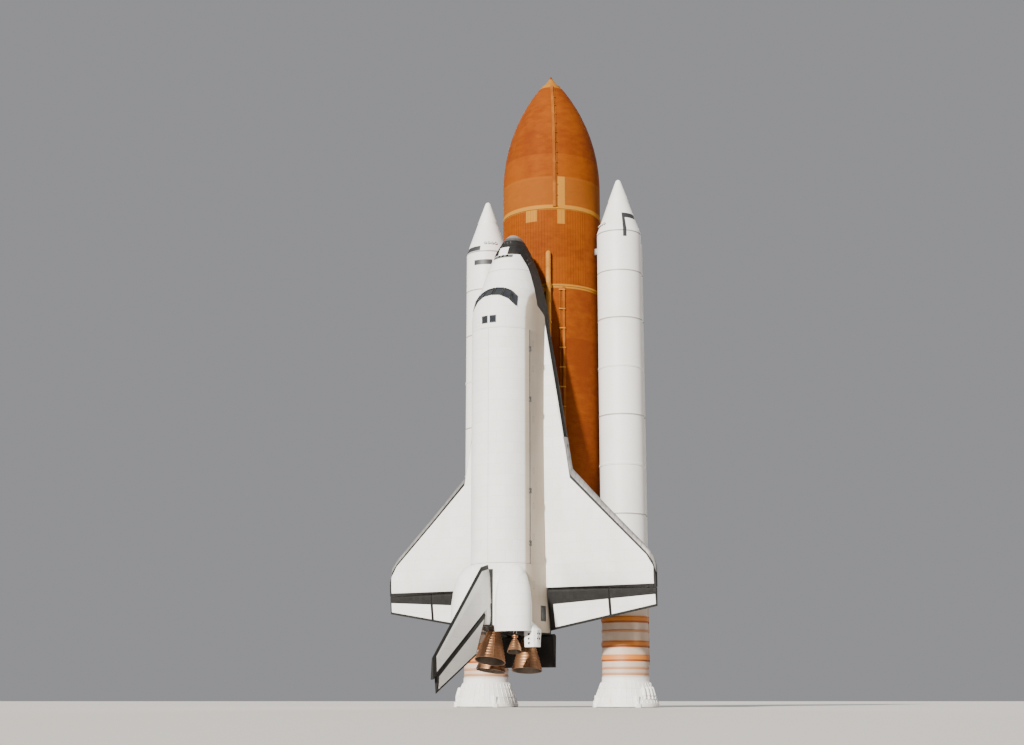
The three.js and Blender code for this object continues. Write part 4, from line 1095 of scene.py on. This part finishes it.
# Orbiter
forwardLook = {
    # Station, top, half width, shoulder height
    "rows": [(388, 437, 82, 361), (434, 454, 92, 371), (472, 488, 99, 384), (505, 498, 102, 394),
             (540, 502, 102, 400), (578, 502, 102, 400)],
    # Front and rear stations at the inner and the outer edge, and the arch shares of those edges
    "windows": [(440, 468, 443, 471, 0.03, 0.2), (445, 473, 454, 484, 0.24, 0.39),
                (458, 487, 475, 506, 0.43, 0.555), (540, 561, 540, 561, 0.03, 0.15)],
    # Thruster openings: two ends as station, side, height, and the radius
    "middlePorts": [((322, 0, 402), (322, 0, 416), 4), ((262, 0, 383), (290, 0, 383), 3.2)],
    "sidePorts": [((322, 14, 400), (322, 15, 415), 4), ((262, 11, 380), (290, 11, 380), 3.2),
                  ((331, 54, 366), (331, 74, 362), 4), ((345, 56, 366), (345, 76, 362), 4),
                  ((338, 56, 354), (338, 76, 350), 3.4)],
    # The cabin's front and rear stations and its floor's height
    "cabin": (405, 574, 288), "skinDepth": 2.5,
    # The hatch's middle, its window's radius and rise above that, and the ring of its twelve bolts
    "hatch": (530, -102, 372), "pane": (4.6, 3), "bolts": 13.5,
    "handle": [(3.2, 9, -5), (5.6, 9, -5), (5.6, 9, 5), (3.2, 9, 5)],
}


def onSide(ports, side):
    return [((s0, side * y0, h0), (s1, side * y1, h1), radius)
            for (s0, y0, h0), (s1, y1, h1), radius in ports]


def bored(node, ports, *dressing):
    # A copy of a CAD node with round openings, dark inside, cut by one joined cutter
    drills, spans = [], []
    for start, end, radius in ports:
        start, end = onOrbiter(*start), onOrbiter(*end)
        drills.append(disc(radius, 0, (end - start).length, 20, start, end - start))
        spans.append((start, end - start, radius))

    def inPort(middle, normal):
        # Not the faces beside an opening
        for start, along, radius in spans:
            share = max(0.0, min(1.0, (middle - start).dot(along) / along.length_squared))
            away = (middle - start - along * share).length
            if (away < radius * 1.01 and abs(normal.dot(along.normalized())) < 0.25
                    or (middle - start).length < radius * 0.6):
                return True
        return False

    piece = dress(nodeCopy(node, cutter=joined(drills)), node + "_skin", *dressing, node)
    tint(piece, 1, inPort)
    return piece


def sectionAt(station):
    # Top, half width and shoulder height of the fuselage
    rows = forwardLook["rows"]
    first, last = next((a, b) for a, b in zip(rows, rows[1:]) if station <= b[0])
    part = (station - first[0]) / (last[0] - first[0])
    return [a + (b - a) * part for a, b in zip(first[1:], last[1:])]


def archPoint(station, share, side):
    top, half, shoulder = sectionAt(station)
    angle = math.pi / 2 * (1 - share)
    return onOrbiter(station, side * half * math.cos(angle), shoulder + (top - shoulder) * math.sin(angle))


def insideCabin(middle, normal):
    # Under the outer skin, and looking inwards
    station, side, height = orbiterZero - middle.z, abs(middle.x), orbiterLevel - middle.y
    front, rear, floor = forwardLook["cabin"]
    if not front < station < rear or normal.dot(onOrbiter(station, 0, 380) - middle) < 0:
        return False
    top, half, shoulder = sectionAt(station)
    top, half = top - forwardLook["skinDepth"], half - forwardLook["skinDepth"]
    if height < floor or side > half:
        return False
    return height < shoulder or (side / half) ** 2 + ((height - shoulder) / (top - shoulder)) ** 2 < 1


def buildForward():
    look = forwardLook
    ports = look["middlePorts"] + onSide(look["sidePorts"], 1) + onSide(look["sidePorts"], -1)
    skin = bored("forward_fuselage", ports, ["forward", "soot", "cabin"], "white_tile")
    tint(skin, 2, insideCabin)

    panes, frames = [], []
    for side in (-1, 1):
        for frontIn, rearIn, frontOut, rearOut, inner, outer in look["windows"]:
            corners = [archPoint(frontIn, inner, side), archPoint(frontOut, outer, side),
                       archPoint(rearOut, outer, side), archPoint(rearIn, inner, side)]
            normal = (corners[1] - corners[0]).cross(corners[3] - corners[0]).normalized()
            if normal.y > 0:
                normal = -normal
            middle = sum(corners, Vector()) / 4
            panes.append(panePiece([c - normal * 1.6 for c in corners], 0.9))
            frames.append(panePiece([middle + (c - middle) * 1.13 + normal * 0.3 for c in corners], 0.9, 1.7))
    dress(joined(panes), "window_panes", "glass", "white_tile")
    dress(joined(frames), "window_frames", "frameDark", "white_tile")
    dress(nodeCopy("nose_cap"), "nose_cap_skin", "noseCarbon", "carbon_edge", "nose_cap")


def buildHatch():
    look, name, inwards = forwardLook, "crew_hatch", (1, 0, 0)
    middle, (radius, rise) = onOrbiter(*look["hatch"]), look["pane"]
    window = middle + Vector((0, -rise, 0))
    door = dress(nodeCopy(name, 0.3), name + "_skin", ["forward", "cabin"], "white_tile", name, body=name)
    tint(door, 1, lambda spot, normal: normal.x > 0.7)
    dress(disc(radius, 0.6, 1.4, 24, window, inwards), "hatch_pane", "glass", "white_tile", body=name)
    parts = [collar(radius + 0.4, radius + 2.0, 0.5, 24, window + Vector((0.1, 0, 0)), inwards)]
    for turn in map(math.radians, range(0, 360, 30)):
        spot = middle + Vector((0, math.cos(turn), math.sin(turn))) * look["bolts"]
        parts.append(disc(0.8, -0.3, 0.3, 8, spot, inwards))
    parts.append(pipePiece([middle + Vector(point) for point in look["handle"]], 0.7))
    dress(joined(parts), "hatch_fittings", "dullSteel", "attach_steel", body=name)


bayLook = {
    "ribs": range(600, 1300, 50), "ribArc": (-190, 10), "longerons": (-150, -120, -90, -60, -30),
    "ends": (586, 1300), "centre": 400,
    "radiators": [(590, 762), (768, 940), (946, 1118), (1124, 1296)], "radiatorArc": (20, 84),
    # The doors' hinge line, side and height, and the radius of its knuckles; then the sills' height
    "hinge": (104.5, 419), "knuckle": 3.0, "sill": 418.6,
    # Where the lining ends: distance from the bay's centre line and height, in the trough and in a door
    "troughLining": (93.5, 419), "doorLining": (98.6, 421), "doorEdge": (100.4, 423.4),
}


def arcPiece(inner, outer, rear, front, first, last, steps):
    # Part of a ring round the bay's centre line: angles are up from the starboard sill
    turn, centreY = math.radians(first), orbiterLevel - bayLook["centre"]
    corners = [(radius * math.cos(turn), centreY - radius * math.sin(turn), orbiterZero - station)
               for station in (rear, front) for radius in (inner, outer)]
    piece = platePiece(corners)
    bpy.ops.mesh.spin(steps=steps, angle=math.radians(last - first), center=(0, centreY * inch, 0),
                      axis=(0, 0, -1))
    closeMesh(0.0001)
    return settled(piece)


def buildBay():
    look = bayLook
    (hingeSide, hingeHeight), sill = look["hinge"], look["sill"]

    def height(spot):
        return orbiterLevel - spot.y

    def fromCentre(spot):
        return math.hypot(spot.x, height(spot) - look["centre"])

    def facesIn(normal):
        return abs(normal.z) < 0.5

    def onSill(spot, normal):
        onHinge = math.hypot(abs(spot.x) - hingeSide, height(spot) - hingeHeight) < look["knuckle"]
        return onHinge or normal.y < -0.9 and abs(height(spot) - sill) < 0.6

    trough = nodeCopy("mid_fuselage")
    dress(trough, "mid_fuselage_skin", ["body", "liner", "curtain"], "white_tile", "mid_fuselage")
    tint(trough, 2, onSill)
    out, top = look["troughLining"]
    tint(trough, 1, lambda spot, normal: fromCentre(spot) < out and height(spot) < top and facesIn(normal))
    front, rear = look["ends"]
    frames = [arcPiece(89.6, 91.9, s + 2, s - 2, *look["ribArc"], 24) for s in look["ribs"]]
    frames += [arcPiece(88.8, 91.4, rear, front, angle - 1.2, angle + 1.2, 1) for angle in look["longerons"]]
    dress(joined(frames), "bay_frames", "liner", "white_tile")

    for word, side in reversed(bothSides):
        node = word + "_payload_door"
        door = nodeCopy(node)
        dress(door, node + "_skin", ["body", "liner", "curtain"], "white_blanket", node, body=node)
        (out, low), (edge, foot) = look["doorLining"], look["doorEdge"]
        tint(door, 1, lambda spot, normal: fromCentre(spot) < out and height(spot) > low and facesIn(normal))
        tint(door, 2, lambda spot, normal: abs(spot.x) > edge and height(spot) < foot)
        panel = joined([arcPiece(96.0, 97.3, behind, ahead, *look["radiatorArc"], 12)
                        for ahead, behind in look["radiators"]])
        if side < 0:
            panel = mirrored(panel)
        dress(panel, word + "_radiators", "radiator", "white_blanket", body=node)


# Engines: pivot station, side and height, tilt up and out
engineLook = {
    "main": [("upper_main_engine", 1445, 0, 443, 16, 0), ("left_main_engine", 1468.17, -53, 342.6, 10, -3.5),
             ("right_main_engine", 1468.17, 53, 342.6, 10, 3.5)],
    "orbital": [("left_orbital_engine", 1518, -88, 492, 15.8, -6.5),
                ("right_orbital_engine", 1518, 88, 492, 15.8, 6.5)],
    "bands": range(66, 148, 9), "sides": 64, "flare": 0.72,
    # Radius and distance from the pivot: throat and start, mouth and end, then the wall
    "mainBell": (10, 54, 46, 158, 1.6), "orbitalBell": (5, 15, 22, 56, 0.9),
    "boosterBell": (28, 22, 60, 66, 2.0),
    "pump": [(0, 14), (3.6, 14), (5.2, 16.5), (5.2, 22), (4.2, 24), (5.0, 26), (5.0, 32), (3.4, 35),
             (3.4, 38), (0, 38.6)],
    "pumpOut": 15.3, "pumpPipe": [(15.3, 36), (15.3, 44), (12.5, 49), (9.4, 52)], "coolant": 1.2,
    # Heat shields round the pivot: radius and angles of the fixed ring, then of the moving cap
    "upperShield": ((72.0, 31.3, 37.6), (69.5, 15.5, 24.9)),
    "lowerShield": ((58.0, 28.8, 37.8), (55.5, 11.8, 25.5)),
}


def engineMatrix(station, side, height, tiltUp, tiltOut):
    up, out = math.radians(tiltUp), math.radians(tiltOut)
    z = Vector((math.sin(out), -math.sin(up) * math.cos(out), -math.cos(up) * math.cos(out)))
    x = (Vector((1, 0, 0)) - z * z.x).normalized()
    turn = Matrix((x, z.cross(x), z)).transposed().to_4x4()
    return Matrix.Translation(onOrbiter(station, side, height) * inch) @ turn


def bellRadius(shape, distance):
    throat, start, mouth, end, _ = shape
    return throat + (mouth - throat) * max(0.0, (distance - start) / (end - start)) ** engineLook["flare"]


def bellRows(shape, bands, high, half):
    # The outside of a bell with bands round it, and its inside from the mouth to the throat
    _, start, _, end, wall = shape
    steps = [start + (end - start) * step / 12 for step in range(13)]
    rows = [(bellRadius(shape, d), d) for d in steps if all(abs(d - band) > half + 0.6 for band in bands)]
    for band in bands:
        for shift in (-1, 1):
            rows += [(bellRadius(shape, band + shift * half), band + shift * half),
                     (bellRadius(shape, band) + high, band + shift * half * 0.6)]
    rows.sort(key=lambda row: row[1])
    steps = [start + (end - start) * step / 10 for step in range(10, -1, -1)]
    return rows, [(bellRadius(shape, d) - wall, d) for d in steps]


def setEngine(name, parts, half, plate, place, depth, looks=("bell", "bellInside")):
    # Adds the pair of lugs on the gimbal block, and darkens the faces that look at the bell's own line
    wide = half * 0.4
    for way in (-1, 1):
        first, last = (-wide, way * (half + 0.05), -wide), (wide, way * half * 1.4, plate + 1)
        parts.append(blockPiece(first, last, 0.3))
    engine = joined(parts)
    engine.matrix_world = place
    dress(settled(engine), name + "_bell", looks, "nozzle_metal", name, body=name)
    base = place.inverted()

    def isInside(middle, normal):
        spot, facing = base @ (middle * inch), base.to_3x3() @ normal
        return spot.z > depth * inch and facing.xy.dot(spot.xy) < -0.02 * spot.xy.length

    tint(engine, 1, isInside)


def setShell(name, radius, first, last, thick, sides, place, slotName, body):
    # Part of a ball's shell round the pivot, between two angles off the engine's line
    turns = [math.radians(first + (last - first) * step / 6) for step in range(7)]
    outer, inner = [[(reach * math.sin(turn), reach * math.cos(turn)) for turn in turns]
                    for reach in (radius, radius - thick)]
    shell = turnedPiece(outer + inner[::-1] + outer[:1], sides)
    shell.matrix_world = place
    dress(settled(shell), name, "curtain", slotName, body=body)


def buildMainEngines():
    look, shape = engineLook, engineLook["mainBell"]
    outside, inside = bellRows(shape, look["bands"], 1.1, 0.9)
    chamber = [(0, 12), (8, 12), (8.6, 14), (12, 17), (13, 20), (13, 29), (10.5, 33), (9, 37), (8.6, 46),
               (9.4, 51)]
    profile = chamber + outside[:-1] + [(46.6, 156.5), (46.8, 158)] + inside + [(0, 55)]
    for name, *spot in look["main"]:
        place = engineMatrix(*spot)
        parts = [turnedPiece(profile, look["sides"])]
        for turn in (45, 135, 225, 315):
            pump = turnedPiece(look["pump"], 20, (0, -look["pumpOut"], 0))
            pipe = pipePiece([(0, -out, distance) for out, distance in look["pumpPipe"]], 1.7)
            parts += ringCopies(joined([pump, pipe]), (turn,))
        # Three coolant lines down the bell
        for turn in (20, 140, 260):
            points = [(0, -(bellRadius(shape, d) + look["coolant"]), d) for d in range(56, 156, 11)]
            parts += ringCopies(pipePiece(points, look["coolant"]), (turn,))
        setEngine(name, parts, 8, 12, place, 54)
        fixed, cap = look["upperShield" if name.startswith("upper") else "lowerShield"]
        setShell(name + "_fixed_shield", *fixed, 1.2, 64, place, "white_tile", "stack")
        setShell(name + "_dome", *cap, 1.0, 48, place, "nozzle_metal", name)


def buildSmallEngines():
    look = engineLook
    outside, inside = bellRows(look["orbitalBell"], (22, 30, 38, 46), 0.7, 0.6)
    chamber = [(0, 6), (5, 6), (8.6, 6.6), (9.8, 7.6), (9.8, 10.5), (7, 12), (5.2, 13)]
    for name, *spot in look["orbital"]:
        bell = turnedPiece(chamber + outside + inside + [(0, 15.5)], 48)
        setEngine(name, [bell], 4, 6, engineMatrix(*spot), 15)
    outside, inside = bellRows(look["boosterBell"], (30, 40, 52), 0.9, 1.2)
    chamber = [(0, 12), (32, 12), (33.6, 13), (33.6, 17), (31, 18.4), (28.2, 19)]
    for word, side in bothSides:
        pivot = Vector((side * boosterSide, tankAxis, boosterZero - boosterShape["pivot"])) * inch
        place = Matrix.Translation(pivot) @ Matrix.Rotation(math.pi, 4, "X")
        bell = turnedPiece(chamber + outside[1:-1] + [(60.2, 64.6), (60.2, 66)] + inside + [(0, 23)], 64)
        setEngine(word + "_booster_nozzle", [bell], 8, 12, place, 22, ["boosterBell", "soot"])


podLook = {
    # Thruster openings in the housing beside each pod: those that look outwards, aft, up and down
    "ports": [((s, 143, h), (s, 155, h), 3.6) for h in (452, 463) for s in (1518, 1532)]
    + [((1550, side, 458), (1562, side, 458), 4) for side in (122, 136)]
    + [((s, 126, h), (s, 126, h + 14), 3.6) for s, h in ((1520, 470), (1533, 470), (1546, 468))]
    + [((s, 128, 444), (s, 128, 432), 3.6) for s in (1520, 1533)],
    # Umbilical panel: sides of its back and front, two corners and its fittings, each station and height
    "panelSides": (101, 102.3), "panel": ((1474, 320), (1430, 352)),
    "fittings": [(s, h) for s in (1438, 1452, 1466) for h in (328, 344)],
}


def buildAft():
    look, plates = podLook, []
    for word, side in bothSides:
        bored(word + "_orbital_pod", onSide(look["ports"], side), ["pod", "soot"], "white_blanket")
    (rear, low), (front, high) = look["panel"]
    for side in (-1, 1):
        inner, outer = [side * out for out in look["panelSides"]]
        plates.append(blockPiece(onOrbiter(rear, inner, low), onOrbiter(front, outer, high), 0.6))
        for station, height in look["fittings"]:
            plates.append(turnedPiece([(0, -1), (3.4, -1), (3.4, 0.2), (2.4, 0.3), (0, 0.3)], 16,
                                      onOrbiter(station, outer, height), (side, 0, 0)))
    dress(joined(plates), "umbilical_panels", "frameDark", "white_tile")


buildForward()
buildHatch()
print("forward fuselage built")
buildBay()
print("payload bay built")
buildMainEngines()
buildSmallEngines()
print("engines built")
buildAft()
print("pods built")

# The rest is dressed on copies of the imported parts. Along each wing's edge, carbon takes over from black
# tiles at this height, which is station 908.
edgeSplit = orbiterZero - 908
copies = [("left_wing", "wing", "white_tile", 0.0), ("right_wing", "wing", "white_tile", 0.0)]
copies += [(f"{word}_{part}_elevon", "elevon", "white_tile", 0.3)
           for word, _ in bothSides for part in ("inboard", "outboard")]
copies += [("aft_fuselage", "aft", "white_tile", 0.0), ("body_flap", "belly", "black_tile", 0.4),
           ("fin", "fin", "white_blanket", 0.0), ("rudder_spar", "rudder", "white_blanket", 0.0)]
copies += [(word + "_rudder_panel", "rudder", "white_blanket", 0.2) for word, _ in bothSides]
for word, _ in bothSides:
    node = word + "_wing_leading_edge"
    edge = nodeCopy(node)
    editing(edge)
    bpy.ops.mesh.bisect(plane_co=(0, 0, edgeSplit * inch), plane_no=(0, 0, 1))
    dress(settled(edge), node + "_skin", ["carbon", "wing"], "carbon_edge", node)
    tint(edge, 1, lambda middle, normal: middle.z > edgeSplit)
moving = {joint["child"] for joint in frame["joints"]}
for node, look, slotName, bevel in copies:
    body = node if node in moving else "stack"
    dress(nodeCopy(node, bevel), node + "_skin", look, slotName, node, body=body)
for node, thing in frame["nodes"].items():
    if "gimbal_block" in node:
        for place in thing.material_slots:
            place.material = paints["dullSteel"]
print("copies dressed")
